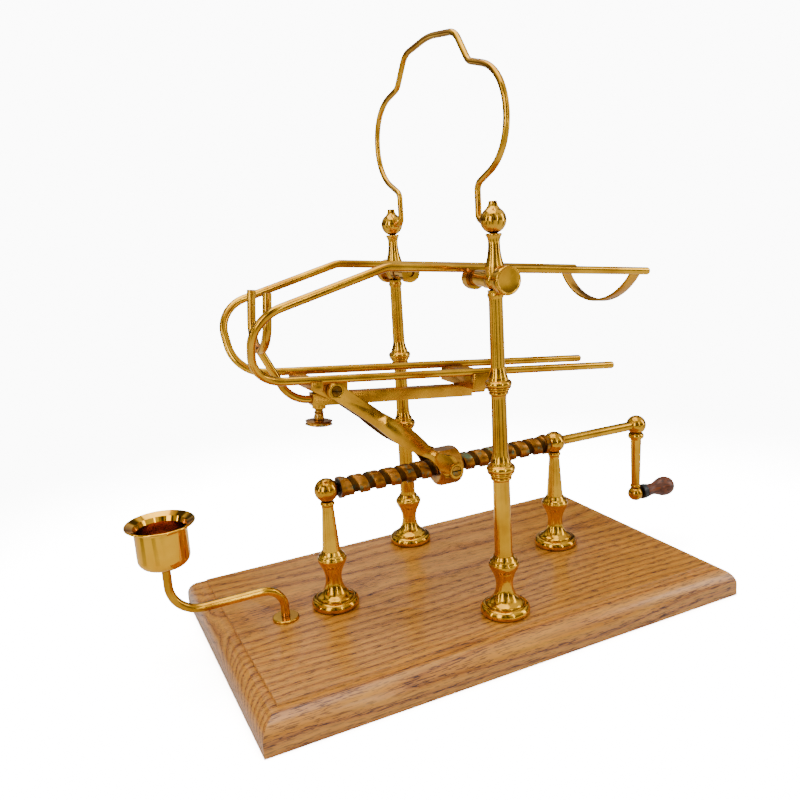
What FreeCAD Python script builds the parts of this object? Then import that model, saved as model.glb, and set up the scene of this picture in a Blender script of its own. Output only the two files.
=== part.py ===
import FreeCAD, Part
import math
import os

# A crank-driven bottle cradle for decanting wine: polished brass on an oak board.
# Turning the crank drives a nut along a coarse screw, the nut pulls a pair of links,
# and the links tip the cradle about two trunnions so that the bottle pours slowly
# past the flame of a candle.
#
# Frame: X runs along the board towards the crank, Y runs across it, Z is up.
# The origin is the middle of the board's underside. All sizes are in millimetres.

# ------------------------------------------------------------------ clearances
RUNNING_FIT = 0.08       # radial clearance of a shaft or pin that turns or slides
SEAT_FIT = 0.05          # radial clearance of a spigot or screw that stays put
SIDE_GAP = 0.3           # gap between faces that pass each other
THREAD_FIT = 0.22        # clearance all round the thread of the nut

# ------------------------------------------------------------------- oak board
BOARD_LENGTH = 270.0     # of the flat top
BOARD_WIDTH = 149.0      # of the flat top
BOARD_THICKNESS = 18.5
MOULDING_STEP = 2.0      # square drop all round the flat top
MOULDING_LEDGE = 0.9
MOULDING_RADIUS = 10.0   # quarter round outside the ledge

# -------------------------------------------------------------- turned columns
PILLAR_SPACING = 116.0   # between the two tall pillars, across the board
POST_SPACING = 154.0     # between the two screw posts, along the board
TRUNNION_HEIGHT = 180.5  # above the board's top
SCREW_HEIGHT = 69.0      # axis of the lead screw above the board's top

FOOT_HEIGHT = 33.5
FOOT_RIM_RADIUS = 13.7
FOOT_RIM_HEIGHT = 5.4
FOOT_TIER_RADIUS = 10.2
FOOT_WAIST_RADIUS = 4.5
FOOT_WAIST_HEIGHT = 16.5
KNOP_RADIUS = 8.1
KNOP_HEIGHT = 28.6
FOOT_TOP_RADIUS = 5.2

SHAFT_FOOT_RADIUS = 4.6  # of the pillar where it leaves the foot
LOWER_RING_HEIGHT = 81.8 # middle of the lower ring above the board's top
LOWER_RING_RADIUS = 7.6
MIDDLE_SHAFT_RADIUS = 4.15
UPPER_RING_DROP = 53.3   # middle of the upper ring below the trunnion
UPPER_RING_RADIUS = 7.0
UPPER_SHAFT_RADIUS = 3.6
RING_HEIGHT = 4.4
BEAD_HEIGHT = 2.2        # of the small beads above and below a ring
RING_FLARE = 3.4

TRUNNION_BALL_RADIUS = 5.7
TRUNNION_FLARE_RADIUS = 4.9
PILLAR_NECK_RADIUS = 3.0
FINIAL_RISE = 28.7       # middle of the finial ball above the trunnion
FINIAL_RADIUS = 6.5
FINIAL_TIP_RADIUS = 2.1
FINIAL_TIP_RISE = 9.2
FINIAL_SLOT_WIDTH = 1.1
FINIAL_SLOT_DEPTH = 2.6

POST_FOOT_RADIUS = 5.1   # of the post where it leaves the foot
POST_NECK_RADIUS = 3.3
POST_BALL_RADIUS = 6.75
POST_COLLAR_RADIUS = 3.9
POST_COLLAR_HEIGHT = 2.2

SPIGOT_RADIUS = 2.4      # of the spigots that join one turned length to the next
SPIGOT_LENGTH = 7.0
FINIAL_SPIGOT_RADIUS = 1.5
FINIAL_SPIGOT_LENGTH = 5.0
FOOT_SCREW_RADIUS = 2.5
FOOT_SCREW_ENTRY = 9.0   # length of screw inside the foot
FOOT_SCREW_HEAD_RADIUS = 4.2
FOOT_SCREW_HEAD_HEIGHT = 3.0
FOOT_WASHER_RADIUS = 5.6
FOOT_WASHER_THICKNESS = 1.2
COUNTERBORE_RADIUS = 6.2
COUNTERBORE_DEPTH = 6.5

# --------------------------------------------------------------- cradle frame
# The cradle is laid out flat in its own frame, with the trunnion axis as origin:
# u runs back along the bottle, w runs up, and the whole is then tipped to rest.
REST_TILT = 5.3          # neck end up, in degrees
BOTTLE_RADIUS = 37.5
BOTTLE_AXIS_DROP = 16.7  # bottle axis below the trunnions
BOTTLE_PLAY = 0.3
RAIL_RADIUS = 2.2
UPPER_RAIL_RISE = 21.4   # upper rails above the bottle axis
LOWER_RAIL_HALF_SPACING = 16.0
RAIL_BACK = 122.0        # back end of the upper rails
LOWER_RAIL_BACK = 116.0
RAIL_BEND = -48.0        # where the upper rails start to slope down
RAIL_BEND_RADIUS = 14.0
CURL_FRONT = -117.2      # upper corner of the curl
CURL_DROP = 25.1         # of that corner below the upper rails
CURL_TUCK = 5.4          # set back of the lower corner
CURL_RADIUS = 18.6
RAIL_END_ROUND = 1.4

STRAP_WIDTH = 7.0
STRAP_THICKNESS = 1.6
STRAP_BACK = 112.5       # middle of the strap
STRAP_SAG = 19.0         # depth of its arc below the upper rails

LUG_RADIUS = 6.0
LUG_THICKNESS = 4.6
LUG_SETBACK = 1.5        # inner face outside the middle of the upper rail
TRUNNION_PIN_RADIUS = 2.4
TRUNNION_HEAD_RADIUS = 7.35
TRUNNION_HEAD_THICKNESS = 6.0
TRUNNION_BOSS_REACH = 6.8  # faces of the trunnion ball's bosses from its middle
SPACER_RADIUS = 4.2

TUBE_SIZE = 6.7          # square slide tube, outside
TUBE_DROP = 66.4         # its axis below the trunnion axis
TUBE_FRONT = -75.5
TUBE_BACK = 23.0
SLIDE_ROD_RADIUS = 2.15
SLIDE_ROD_BACK = 33.0
SADDLE_HALF_LENGTH = 6.0
SADDLE_OVERHANG = 3.4    # of a cross bar outside the lower rails
SADDLE_BITE = 1.5        # how far the cross bars reach up round the rails
SADDLE_ROUND = 1.2
REAR_SADDLE = 20.0

PIVOT_U = -65.1          # upper pivot of the links in the cradle frame
PIVOT_DROP = 60.8
PIVOT_BLOCK_FRONT = -82.0
PIVOT_BLOCK_BACK = -57.5
PIVOT_BLOCK_HALF_WIDTH = 7.9
CHEEK_REACH = 4.6        # of the cheeks past the pivot, down the side of the tube
CHEEK_NOSE = 3.0

FORK_U = -103.5          # the neck fork stands upright at this place
FORK_HALF_WIDTH = 14.5
FORK_BOTTOM = -39.0
FORK_TOP = -9.2
FORK_RADIUS = 2.3
STEM_KNEE = -86.8        # where the stem turns into the slide tube
STEM_RADIUS = 18.0

THUMB_U = -70.9          # thumbscrew under the front of the tube
THUMB_BOSS_RADIUS = 3.7
THUMB_BOSS_HEIGHT = 1.8
THUMB_SCREW_RADIUS = 1.6
THUMB_BEAD_RADIUS = 3.1
THUMB_NECK_RADIUS = 2.7
THUMB_NECK_HEIGHT = 6.4
THUMB_DISC_RADIUS = 8.1
THUMB_DISC_THICKNESS = 3.0

# ------------------------------------------------------- screw, nut and links
SCREW_LEAD = 9.8
SCREW_RADIUS = 5.6
GROOVE_DEPTH = 1.1
GROOVE_WIDTH = 3.4
GROOVE_FLARE = 0.5       # extra width at the mouth of the groove
CORE_OVERLAP = 0.3         # the groove is cut a little deep, and a core rod gives its floor
SEAM_TOLERANCE = 0.0001     # where one turn of the groove meets the next
JOURNAL_RADIUS = 2.6
COLLAR_RADIUS = 6.2
COLLAR_THICKNESS = 2.2
CRANK_SHAFT_RADIUS = 3.0
SHAFT_SPIGOT_RADIUS = 2.0
SHAFT_SPIGOT_LENGTH = 12.0

NUT_REST_X = -2.0
NUT_LENGTH = 15.5
NUT_ACROSS = 21.0
NUT_CORNER = 6.2         # chamfer along the long edges
NUT_END_ROUND = 2.6
NUT_POCKET_RADIUS = 4.6  # clearance round the lower pivot screws
NUT_POCKET_DEPTH = 3.0

LINK_THICKNESS = 2.4
LINK_STRIP_HALF_WIDTH = 4.3
LINK_LEAF_HALF_WIDTH = 5.6
LINK_NECK_HALF_WIDTH = 2.7
LINK_LOBE_RADIUS = 5.9
LINK_LOBE_SETBACK = 6.2
LINK_EYE_RADIUS = 4.6
LINK_FIRST_BEND = 30.0   # from the upper pivot
LINK_NECK_SETBACK = 19.5 # from the lower pivot
LINK_BEND_LENGTH = 5.0
LINK_MIDDLE_OFFSET = 1.3
EYE_RING_HEIGHT = 0.8
EYE_RECESS_RADIUS = 3.1
EYE_RECESS_DEPTH = 1.6
PIVOT_SCREW_RADIUS = 1.8
PIVOT_SCREW_HEAD_RADIUS = 2.8
PIVOT_SCREW_ENTRY = 4.5
SLOT_WIDTH = 0.9
SLOT_DEPTH = 0.8

# ----------------------------------------------------------------------- crank
CRANK_X = 144.3
CRANK_RADIUS = 48.5      # from the screw axis to the knob axis
CRANK_BALL_RADIUS = 6.4
CRANK_COLLAR_RADIUS = 5.2
CRANK_COLLAR_HEIGHT = 3.2
CRANK_ARM_TOP_RADIUS = 3.5
CRANK_ARM_END_RADIUS = 2.9
KNUCKLE_RADIUS = 4.95
KNUCKLE_BEAD_RADIUS = 3.4
SPINDLE_RADIUS = 1.5
FERRULE_RADIUS = 5.0
FERRULE_LENGTH = 3.6
KNOB_BASE_RADIUS = 4.7
KNOB_NECK_RADIUS = 3.9
KNOB_BALL_RADIUS = 6.6
KNOB_LENGTH = 24.0

# --------------------------------------------------------------- bail handle
BAIL_WIRE_RADIUS = 1.65
BAIL_LEG_INSET = 13.5    # inside the line of the pillars
BAIL_PIN_ENTRY = 5.5     # of the wire inside the finial ball
BAIL_LEG_RISE = 17.8
BAIL_BELLY_INSET = 13.5  # middle of the round belly
BAIL_BELLY_RISE = 47.3
BAIL_BELLY_RADIUS = 27.5
BAIL_BELLY_START = -62.0 # where the belly leaves the leg, in degrees from level
BAIL_BELLY_SWEEP = 132.0
BAIL_BELLY_BENDS = 4     # equal bends that make up the belly
BAIL_DIP_INSET = 18.0
BAIL_DIP_RISE = 76.0
BAIL_CROWN_INSET = 30.0
BAIL_CROWN_RISE = 92.0
BAIL_TOP_RISE = 95.6

# --------------------------------------------------------------- candle holder
CANDLE_ROOT_GAP = 29.8   # beyond the left screw post
CANDLE_REACH = 60.0      # from the arm's foot to the middle of the cup
CANDLE_ARM_RADIUS = 2.35
CANDLE_ARM_RISE = 19.0   # height of the level run above the board's top
CANDLE_CUP_RISE = 44.6   # underside of the cup's collar above the board's top
CANDLE_ROOT_BEND = 12.0
CANDLE_TIP_BEND = 16.5
CANDLE_FLANGE_RADIUS = 7.4
CANDLE_FLANGE_THICKNESS = 1.4
CANDLE_COLLAR_RADIUS = 3.3
CANDLE_COLLAR_HEIGHT = 2.6
CUP_RADIUS = 13.3
CUP_HEIGHT = 23.5
CUP_WALL = 1.0
CUP_BASE_ROUND = 5.5
CUP_RIM_RADIUS = 17.4
CUP_RIM_FLARE = 3.2
SOCKET_NUT_ACROSS = 8.0
SOCKET_NUT_HEIGHT = 4.0
ARM_STUD_RADIUS = 2.0

# ------------------------------------------------------------- derived places
BOARD_TOP = BOARD_THICKNESS
TRUNNION_Z = BOARD_TOP + TRUNNION_HEIGHT
SCREW_Z = BOARD_TOP + SCREW_HEIGHT
FINIAL_Z = TRUNNION_Z + FINIAL_RISE
SHAFT_START = BOARD_TOP + FOOT_HEIGHT
LOWER_RING_Z = BOARD_TOP + LOWER_RING_HEIGHT
UPPER_RING_Z = TRUNNION_Z - UPPER_RING_DROP
RING_TOP = RING_HEIGHT / 2 + BEAD_HEIGHT
POST_X = POST_SPACING / 2
CANDLE_ROOT_X = -(POST_X + CANDLE_ROOT_GAP)
PILLAR_Y = PILLAR_SPACING / 2
BAIL_LEG_Y = PILLAR_Y - BAIL_LEG_INSET
BAIL_BELLY_Y = PILLAR_Y - BAIL_BELLY_INSET
BAIL_DIP_Y = PILLAR_Y - BAIL_DIP_INSET
BAIL_CROWN_Y = PILLAR_Y - BAIL_CROWN_INSET

RAIL_SEAT = BOTTLE_RADIUS + BOTTLE_PLAY + RAIL_RADIUS
UPPER_RAIL_W = UPPER_RAIL_RISE - BOTTLE_AXIS_DROP
UPPER_RAIL_Y = math.sqrt(RAIL_SEAT ** 2 - UPPER_RAIL_RISE ** 2)
LOWER_RAIL_Y = LOWER_RAIL_HALF_SPACING
LOWER_RAIL_W = -BOTTLE_AXIS_DROP - math.sqrt(RAIL_SEAT ** 2 - LOWER_RAIL_Y ** 2)
TUBE_TOP_W = -TUBE_DROP + TUBE_SIZE / 2
TUBE_UNDER_W = -TUBE_DROP - TUBE_SIZE / 2
LUG_INNER_Y = UPPER_RAIL_Y + LUG_SETBACK
LUG_OUTER_Y = LUG_INNER_Y + LUG_THICKNESS

LINK_UPPER_Y = PIVOT_BLOCK_HALF_WIDTH + SIDE_GAP
LINK_LOWER_Y = NUT_ACROSS / 2 + SIDE_GAP
SCREW_LEFT_END = -POST_X + POST_BALL_RADIUS + SIDE_GAP
SCREW_RIGHT_END = POST_X - POST_BALL_RADIUS - SIDE_GAP
KNOB_Z = SCREW_Z - CRANK_RADIUS


def vec(x, y, z):
    return FreeCAD.Vector(x, y, z)


X_AXIS = vec(1, 0, 0)
Y_AXIS = vec(0, 1, 0)
Z_AXIS = vec(0, 0, 1)


# ------------------------------------------------------------ shape functions
def outline_edges(points):
    """Edges through (r, z, bulge) points; bulge bows the edge to the next point."""
    edges = []
    for here, there in zip(points, points[1:]):
        start = vec(here[0], 0, here[1])
        end = vec(there[0], 0, there[1])
        bulge = here[2] if len(here) > 2 else 0.0
        if bulge == 0.0:
            edges.append(Part.LineSegment(start, end).toShape())
            continue
        along = end - start
        side = vec(along.z, 0, -along.x).normalize()
        middle = (start + end) * 0.5 + side * bulge
        edges.append(Part.Arc(start, middle, end).toShape())
    return edges


def turned(points):
    """Solid of revolution about Z from a closed (r, z) outline, r >= 0."""
    face = Part.Face(Part.Wire(outline_edges(points + [points[0][:2]])))
    return face.revolve(vec(0, 0, 0), Z_AXIS, 360)


def at(shape, x=0.0, y=0.0, z=0.0):
    moved = shape.copy()
    moved.translate(vec(x, y, z))
    return moved


def aimed(shape, axis, x=0.0, y=0.0, z=0.0):
    """Turn a shape made along +Z so that it lies along axis, then place it."""
    moved = shape.copy()
    place = FreeCAD.Placement(vec(x, y, z), FreeCAD.Rotation(Z_AXIS, axis))
    moved.Placement = place.multiply(moved.Placement)
    return moved


def rod(radius, start, end):
    return Part.makeCylinder(radius, (end - start).Length, start, end - start)


def box(x0, x1, y0, y1, z0, z1):
    return Part.makeBox(x1 - x0, y1 - y0, z1 - z0, vec(x0, y0, z0))


def prism(points, axis, depth):
    """Closed polygon of 3-D points pushed by depth along axis."""
    face = Part.Face(Part.makePolygon(points + [points[0]]))
    return face.extrude(axis * depth)


def bent_path(points, radii):
    """Straight runs through points, with a tangent arc of the given radius at each bend."""
    edges = []
    start = points[0]
    for before, corner, after, radius in zip(points, points[1:], points[2:], radii):
        back = (before - corner).normalize()
        ahead = (after - corner).normalize()
        half = back.getAngle(ahead) / 2
        reach = radius / math.tan(half)
        enter = corner + back * reach
        leave = corner + ahead * reach
        inward = (back + ahead).normalize()
        middle = corner + inward * (radius / math.sin(half) - radius)
        if (enter - start).Length > 1e-3:
            edges.append(Part.LineSegment(start, enter).toShape())
        edges.append(Part.Arc(enter, middle, leave).toShape())
        start = leave
    if (points[-1] - start).Length > 1e-3:
        edges.append(Part.LineSegment(start, points[-1]).toShape())
    return Part.Wire(edges)


def bent_rod(radius, points, radii):
    """Round rod along a bent path."""
    path = bent_path(points, radii)
    section = Part.Wire([Part.makeCircle(radius, points[0], points[1] - points[0])])
    return path.makePipeShell([section], True, False)


def rounded_ends(shape, radius, places):
    """Round the rim at each end of a rod, where its end face is centred on a place."""
    rims = []
    for edge in shape.Edges:
        if edge.Closed and any((edge.CenterOfMass - place).Length < 0.05 for place in places):
            rims.append(edge)
    return shape.makeFillet(radius, rims)


def mirrored(shape):
    return shape.mirror(vec(0, 0, 0), Y_AXIS)


def tipped(shape):
    """From the cradle's own frame to its place at rest."""
    moved = shape.copy()
    rest = FreeCAD.Placement(vec(0, 0, TRUNNION_Z), FreeCAD.Rotation(Y_AXIS, REST_TILT))
    moved.Placement = rest.multiply(moved.Placement)
    return moved


def cradle_point(u, y, w):
    """A place in the cradle's frame, given in the part's frame."""
    turn = FreeCAD.Rotation(Y_AXIS, REST_TILT)
    return vec(0, 0, TRUNNION_Z) + turn.multVec(vec(u, y, w))


def slotted_head(radius, height, slot_width, slot_depth):
    """Round screw head with its underside at z = 0 and a slot across its top."""
    head = Part.makeCylinder(radius, height)
    slot = box(-radius, radius, -slot_width / 2, slot_width / 2, height - slot_depth, height)
    return head.cut(slot)


NODES = {}


def save(name, shape):
    solids = shape.Solids
    if not solids or not shape.isValid():
        raise ValueError("bad shape: " + name)
    NODES[name] = solids[0] if len(solids) == 1 else Part.Compound(solids)


# -------------------------------------------------------------------- the board
def moulded_slab(half_top, half_length, axis_across):
    """Bar with the moulding's section on both edges, long enough to cross the board."""
    ledge = half_top + MOULDING_LEDGE
    outer = ledge + MOULDING_RADIUS
    spring = BOARD_TOP - MOULDING_STEP - MOULDING_RADIUS
    right = [
        vec(half_top, 0, BOARD_TOP),
        vec(half_top, 0, BOARD_TOP - MOULDING_STEP),
        vec(ledge, 0, BOARD_TOP - MOULDING_STEP),
        vec(outer, 0, spring),
        vec(outer, 0, 0),
    ]
    diagonal = MOULDING_RADIUS * math.sqrt(0.5)
    edges = []
    for sign in (1, -1):
        side = [vec(sign * p.x, 0, p.z) for p in right]
        bow = vec(sign * (ledge + diagonal), 0, spring + diagonal)
        edges.append(Part.LineSegment(side[0], side[1]).toShape())
        edges.append(Part.LineSegment(side[1], side[2]).toShape())
        edges.append(Part.Arc(side[2], bow, side[3]).toShape())
        edges.append(Part.LineSegment(side[3], side[4]).toShape())
    edges.append(Part.LineSegment(vec(outer, 0, 0), vec(-outer, 0, 0)).toShape())
    edges.append(Part.LineSegment(vec(-half_top, 0, BOARD_TOP), vec(half_top, 0, BOARD_TOP)).toShape())
    section = Part.Face(Part.Wire(Part.__sortEdges__(edges)))
    bar = at(section.extrude(vec(0, 2 * half_length, 0)), y=-half_length)
    if axis_across:
        bar.rotate(vec(0, 0, 0), Z_AXIS, 90)
    return bar


def foot_places():
    return [(0, -PILLAR_Y), (0, PILLAR_Y), (-POST_X, 0), (POST_X, 0)]


def make_board():
    reach = BOARD_LENGTH
    board = moulded_slab(BOARD_LENGTH / 2, reach, False)
    board = board.common(moulded_slab(BOARD_WIDTH / 2, reach, True))
    hole = Part.makeCylinder(FOOT_SCREW_RADIUS + SEAT_FIT, BOARD_TOP)
    hole = hole.fuse(Part.makeCylinder(COUNTERBORE_RADIUS, COUNTERBORE_DEPTH))
    for x, y in foot_places():
        board = board.cut(at(hole, x, y))
    arm_hole = Part.makeCylinder(CANDLE_ARM_RADIUS + RUNNING_FIT, BOARD_TOP)
    arm_hole = arm_hole.fuse(Part.makeCylinder(COUNTERBORE_RADIUS, COUNTERBORE_DEPTH))
    save("base_board", board.cut(at(arm_hole, CANDLE_ROOT_X)))


# ----------------------------------------------------------------- the columns
def make_foot(x, y, name):
    """Turned foot with a rounded rim, a waist and a knop, bored for its screw and shaft."""
    knop_edge = 0.8
    foot = turned([
        (0, 0),
        (FOOT_RIM_RADIUS - 1.0, 0),
        (FOOT_RIM_RADIUS - 1.0, 0.4, 1.6),
        (FOOT_TIER_RADIUS + 1.0, FOOT_RIM_HEIGHT),
        (FOOT_TIER_RADIUS, FOOT_RIM_HEIGHT, 0.35),
        (FOOT_TIER_RADIUS - 0.8, FOOT_RIM_HEIGHT + 1.6, -1.9),
        (FOOT_WAIST_RADIUS, FOOT_WAIST_HEIGHT, -0.9),
        (KNOP_RADIUS, KNOP_HEIGHT - knop_edge, knop_edge / 2),
        (KNOP_RADIUS, KNOP_HEIGHT, 0.1),
        (FOOT_TOP_RADIUS, FOOT_HEIGHT),
        (0, FOOT_HEIGHT),
    ])
    screw_bore = Part.makeCylinder(FOOT_SCREW_RADIUS + SEAT_FIT, FOOT_SCREW_ENTRY + 1.0)
    shaft_bore = Part.makeCylinder(SPIGOT_RADIUS + SEAT_FIT, SPIGOT_LENGTH + 0.5)
    foot = foot.cut(screw_bore)
    foot = foot.cut(at(shaft_bore, z=FOOT_HEIGHT - SPIGOT_LENGTH - 0.5))
    save(name, at(foot, x, y, BOARD_TOP))


def make_foot_fixings():
    """Screws and washers that hold the four feet from below."""
    washer_top = COUNTERBORE_DEPTH
    head_top = washer_top - FOOT_WASHER_THICKNESS
    shank_top = BOARD_TOP + FOOT_SCREW_ENTRY
    screws = []
    washers = []
    for x, y in foot_places():
        head = slotted_head(FOOT_SCREW_HEAD_RADIUS, FOOT_SCREW_HEAD_HEIGHT, SLOT_WIDTH, SLOT_DEPTH)
        head = aimed(head, vec(0, 0, -1), x, y, head_top)
        shank = Part.makeCylinder(FOOT_SCREW_RADIUS, shank_top - head_top, vec(x, y, head_top))
        screws.append(head.fuse(shank))
        washer = Part.makeCylinder(FOOT_WASHER_RADIUS, FOOT_WASHER_THICKNESS, vec(x, y, head_top))
        hole = Part.makeCylinder(FOOT_SCREW_RADIUS + SEAT_FIT, BOARD_TOP, vec(x, y, 0))
        washers.append(washer.cut(hole))
    save("foot_screws", Part.Compound(screws))
    save("foot_washers", Part.Compound(washers))


def shaft_with_ring(start, shaft_radius, ring_z, ring_radius, top_radius):
    """Tapered shaft that ends in a turned ring; the next length stands on its top."""
    ring_low = ring_z - RING_HEIGHT / 2
    bead_low = ring_low - BEAD_HEIGHT
    ring_high = ring_z + RING_HEIGHT / 2
    top = ring_z + RING_TOP
    narrow = shaft_radius - 0.3
    shaft = turned([
        (0, start),
        (shaft_radius, start),
        (narrow, bead_low - 1.0, -0.2),
        (narrow + 1.0, bead_low, 0.55),
        (narrow + 1.4, ring_low),
        (ring_radius - 1.0, ring_low, 1.35),
        (ring_radius - 1.3, ring_high),
        (top_radius + 1.7, ring_high, 0.5),
        (top_radius + 1.5, top),
        (0, top),
    ])
    spigot = Part.makeCylinder(SPIGOT_RADIUS, SPIGOT_LENGTH, vec(0, 0, start - SPIGOT_LENGTH))
    bore = Part.makeCylinder(SPIGOT_RADIUS + SEAT_FIT, SPIGOT_LENGTH + 0.5)
    return shaft.fuse(spigot).cut(at(bore, z=top - SPIGOT_LENGTH - 0.5))


def upper_shaft():
    """Slim shaft from the upper ring to the collar below the trunnion ball."""
    start = UPPER_RING_Z + RING_TOP
    top = TRUNNION_Z - TRUNNION_BALL_RADIUS + 0.4
    shaft = turned([
        (0, start),
        (UPPER_SHAFT_RADIUS + 1.5, start, -0.7),
        (UPPER_SHAFT_RADIUS + 0.1, start + RING_FLARE),
        (UPPER_SHAFT_RADIUS, top - 2.6),
        (UPPER_SHAFT_RADIUS + 0.5, top - 1.8, 0.4),
        (UPPER_SHAFT_RADIUS + 0.6, top),
        (0, top),
    ])
    spigot = Part.makeCylinder(SPIGOT_RADIUS, SPIGOT_LENGTH, vec(0, 0, start - SPIGOT_LENGTH))
    bore = Part.makeCylinder(SPIGOT_RADIUS + SEAT_FIT, SPIGOT_LENGTH + 0.5)
    return shaft.fuse(spigot).cut(at(bore, z=top - SPIGOT_LENGTH - 0.5))


def trunnion_block():
    """Ball that carries the trunnion screw, with the flared neck above it."""
    base = TRUNNION_Z - TRUNNION_BALL_RADIUS + 0.4
    flare = TRUNNION_Z + TRUNNION_BALL_RADIUS
    top = FINIAL_Z - FINIAL_RADIUS + 0.2
    neck = top - 4.6
    body = turned([
        (0, TRUNNION_Z),
        (TRUNNION_FLARE_RADIUS, TRUNNION_Z),
        (TRUNNION_FLARE_RADIUS, flare + 0.8, -0.5),
        (PILLAR_NECK_RADIUS, neck, -0.25),
        (PILLAR_NECK_RADIUS + 0.8, top - 1.2, 0.3),
        (PILLAR_NECK_RADIUS + 0.7, top),
        (0, top),
    ])
    ball = Part.makeSphere(TRUNNION_BALL_RADIUS, vec(0, 0, TRUNNION_Z))
    reach = TRUNNION_BOSS_REACH
    boss = rod(SPACER_RADIUS + 0.6, vec(0, -reach, TRUNNION_Z), vec(0, reach, TRUNNION_Z))
    block = ball.fuse(body).fuse(boss)
    block = block.common(box(-reach, reach, -reach, reach, base, top))
    spigot = Part.makeCylinder(SPIGOT_RADIUS, SPIGOT_LENGTH, vec(0, 0, base - SPIGOT_LENGTH))
    pin_bore = rod(TRUNNION_PIN_RADIUS + SEAT_FIT, vec(0, -reach, TRUNNION_Z), vec(0, reach, TRUNNION_Z))
    finial_bore = Part.makeCylinder(
        FINIAL_SPIGOT_RADIUS + SEAT_FIT, FINIAL_SPIGOT_LENGTH + 0.5,
        vec(0, 0, top - FINIAL_SPIGOT_LENGTH - 0.5),
    )
    return block.fuse(spigot).cut(pin_bore).cut(finial_bore)


def finial(side):
    """Ball finial with a slotted tip; its inner side is bored for the end of the bail."""
    base = FINIAL_Z - FINIAL_RADIUS + 0.2
    tip = FINIAL_Z + FINIAL_TIP_RISE
    ball = Part.makeSphere(FINIAL_RADIUS, vec(0, 0, FINIAL_Z))
    shoulder = 3.9
    rise = math.sqrt(FINIAL_RADIUS ** 2 - shoulder ** 2)
    point = turned([
        (0, FINIAL_Z),
        (shoulder, FINIAL_Z),
        (shoulder, FINIAL_Z + rise, -0.35),
        (FINIAL_TIP_RADIUS, tip - 0.7, 0.2),
        (FINIAL_TIP_RADIUS - 0.5, tip),
        (0, tip),
    ])
    shape = ball.fuse(point)
    reach = FINIAL_RADIUS + 1.0
    shape = shape.common(box(-reach, reach, -reach, reach, base, tip))
    slot = box(-FINIAL_SLOT_WIDTH / 2, FINIAL_SLOT_WIDTH / 2, -reach, reach,
               tip - FINIAL_SLOT_DEPTH, tip)
    bore_end = side * (FINIAL_RADIUS - BAIL_PIN_ENTRY - 0.4)
    bore = rod(BAIL_WIRE_RADIUS + RUNNING_FIT, vec(0, -side * reach, FINIAL_Z),
               vec(0, -bore_end, FINIAL_Z))
    spigot = Part.makeCylinder(FINIAL_SPIGOT_RADIUS, FINIAL_SPIGOT_LENGTH,
                               vec(0, 0, base - FINIAL_SPIGOT_LENGTH))
    return shape.cut(slot).cut(bore).fuse(spigot)


def make_pillars():
    lower = shaft_with_ring(SHAFT_START, SHAFT_FOOT_RADIUS, LOWER_RING_Z,
                            LOWER_RING_RADIUS, MIDDLE_SHAFT_RADIUS)
    middle = shaft_with_ring(LOWER_RING_Z + RING_TOP, MIDDLE_SHAFT_RADIUS, UPPER_RING_Z,
                             UPPER_RING_RADIUS, UPPER_SHAFT_RADIUS)
    upper = upper_shaft()
    block = trunnion_block()
    for name, side in (("near", -1), ("far", 1)):
        y = side * PILLAR_Y
        make_foot(0, y, "pillar_foot_" + name)
        save("lower_shaft_" + name, at(lower, y=y))
        save("middle_shaft_" + name, at(middle, y=y))
        save("upper_shaft_" + name, at(upper, y=y))
        save("trunnion_block_" + name, at(block, y=y))
        save("finial_" + name, at(finial(side), y=y))


def make_posts():
    base = SCREW_Z - POST_BALL_RADIUS + 0.4
    collar_low = base - POST_COLLAR_HEIGHT
    stem = turned([
        (0, SHAFT_START),
        (POST_FOOT_RADIUS, SHAFT_START, -0.15),
        (POST_NECK_RADIUS, collar_low),
        (POST_COLLAR_RADIUS - 0.4, collar_low, 0.45),
        (POST_COLLAR_RADIUS - 0.4, base),
        (0, base),
    ])
    spigot = Part.makeCylinder(SPIGOT_RADIUS, SPIGOT_LENGTH, vec(0, 0, SHAFT_START - SPIGOT_LENGTH))
    ball_bore = Part.makeCylinder(FINIAL_SPIGOT_RADIUS + SEAT_FIT, FINIAL_SPIGOT_LENGTH + 0.5,
                                  vec(0, 0, base - FINIAL_SPIGOT_LENGTH - 0.5))
    stem = stem.fuse(spigot).cut(ball_bore)
    reach = POST_BALL_RADIUS + 1.0
    for name, side in (("left", -1), ("right", 1)):
        x = side * POST_X
        make_foot(x, 0, "post_foot_" + name)
        save("post_stem_" + name, at(stem, x))
        ball = Part.makeSphere(POST_BALL_RADIUS, vec(0, 0, SCREW_Z))
        ball = ball.common(box(-reach, reach, -reach, reach, base, SCREW_Z + reach))
        pin = Part.makeCylinder(FINIAL_SPIGOT_RADIUS, FINIAL_SPIGOT_LENGTH,
                                vec(0, 0, base - FINIAL_SPIGOT_LENGTH))
        if side < 0:
            bore = rod(JOURNAL_RADIUS + RUNNING_FIT, vec(-2.0, 0, SCREW_Z), vec(reach, 0, SCREW_Z))
            facing = box(POST_BALL_RADIUS - 0.5, reach, -reach, reach, base, SCREW_Z + reach)
        else:
            bore = rod(CRANK_SHAFT_RADIUS + RUNNING_FIT, vec(-reach, 0, SCREW_Z), vec(reach, 0, SCREW_Z))
            facing = box(-reach, 0.5 - POST_BALL_RADIUS, -reach, reach, base, SCREW_Z + reach)
        save("bearing_ball_" + name, at(ball.fuse(pin).cut(bore).cut(facing), x))


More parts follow.
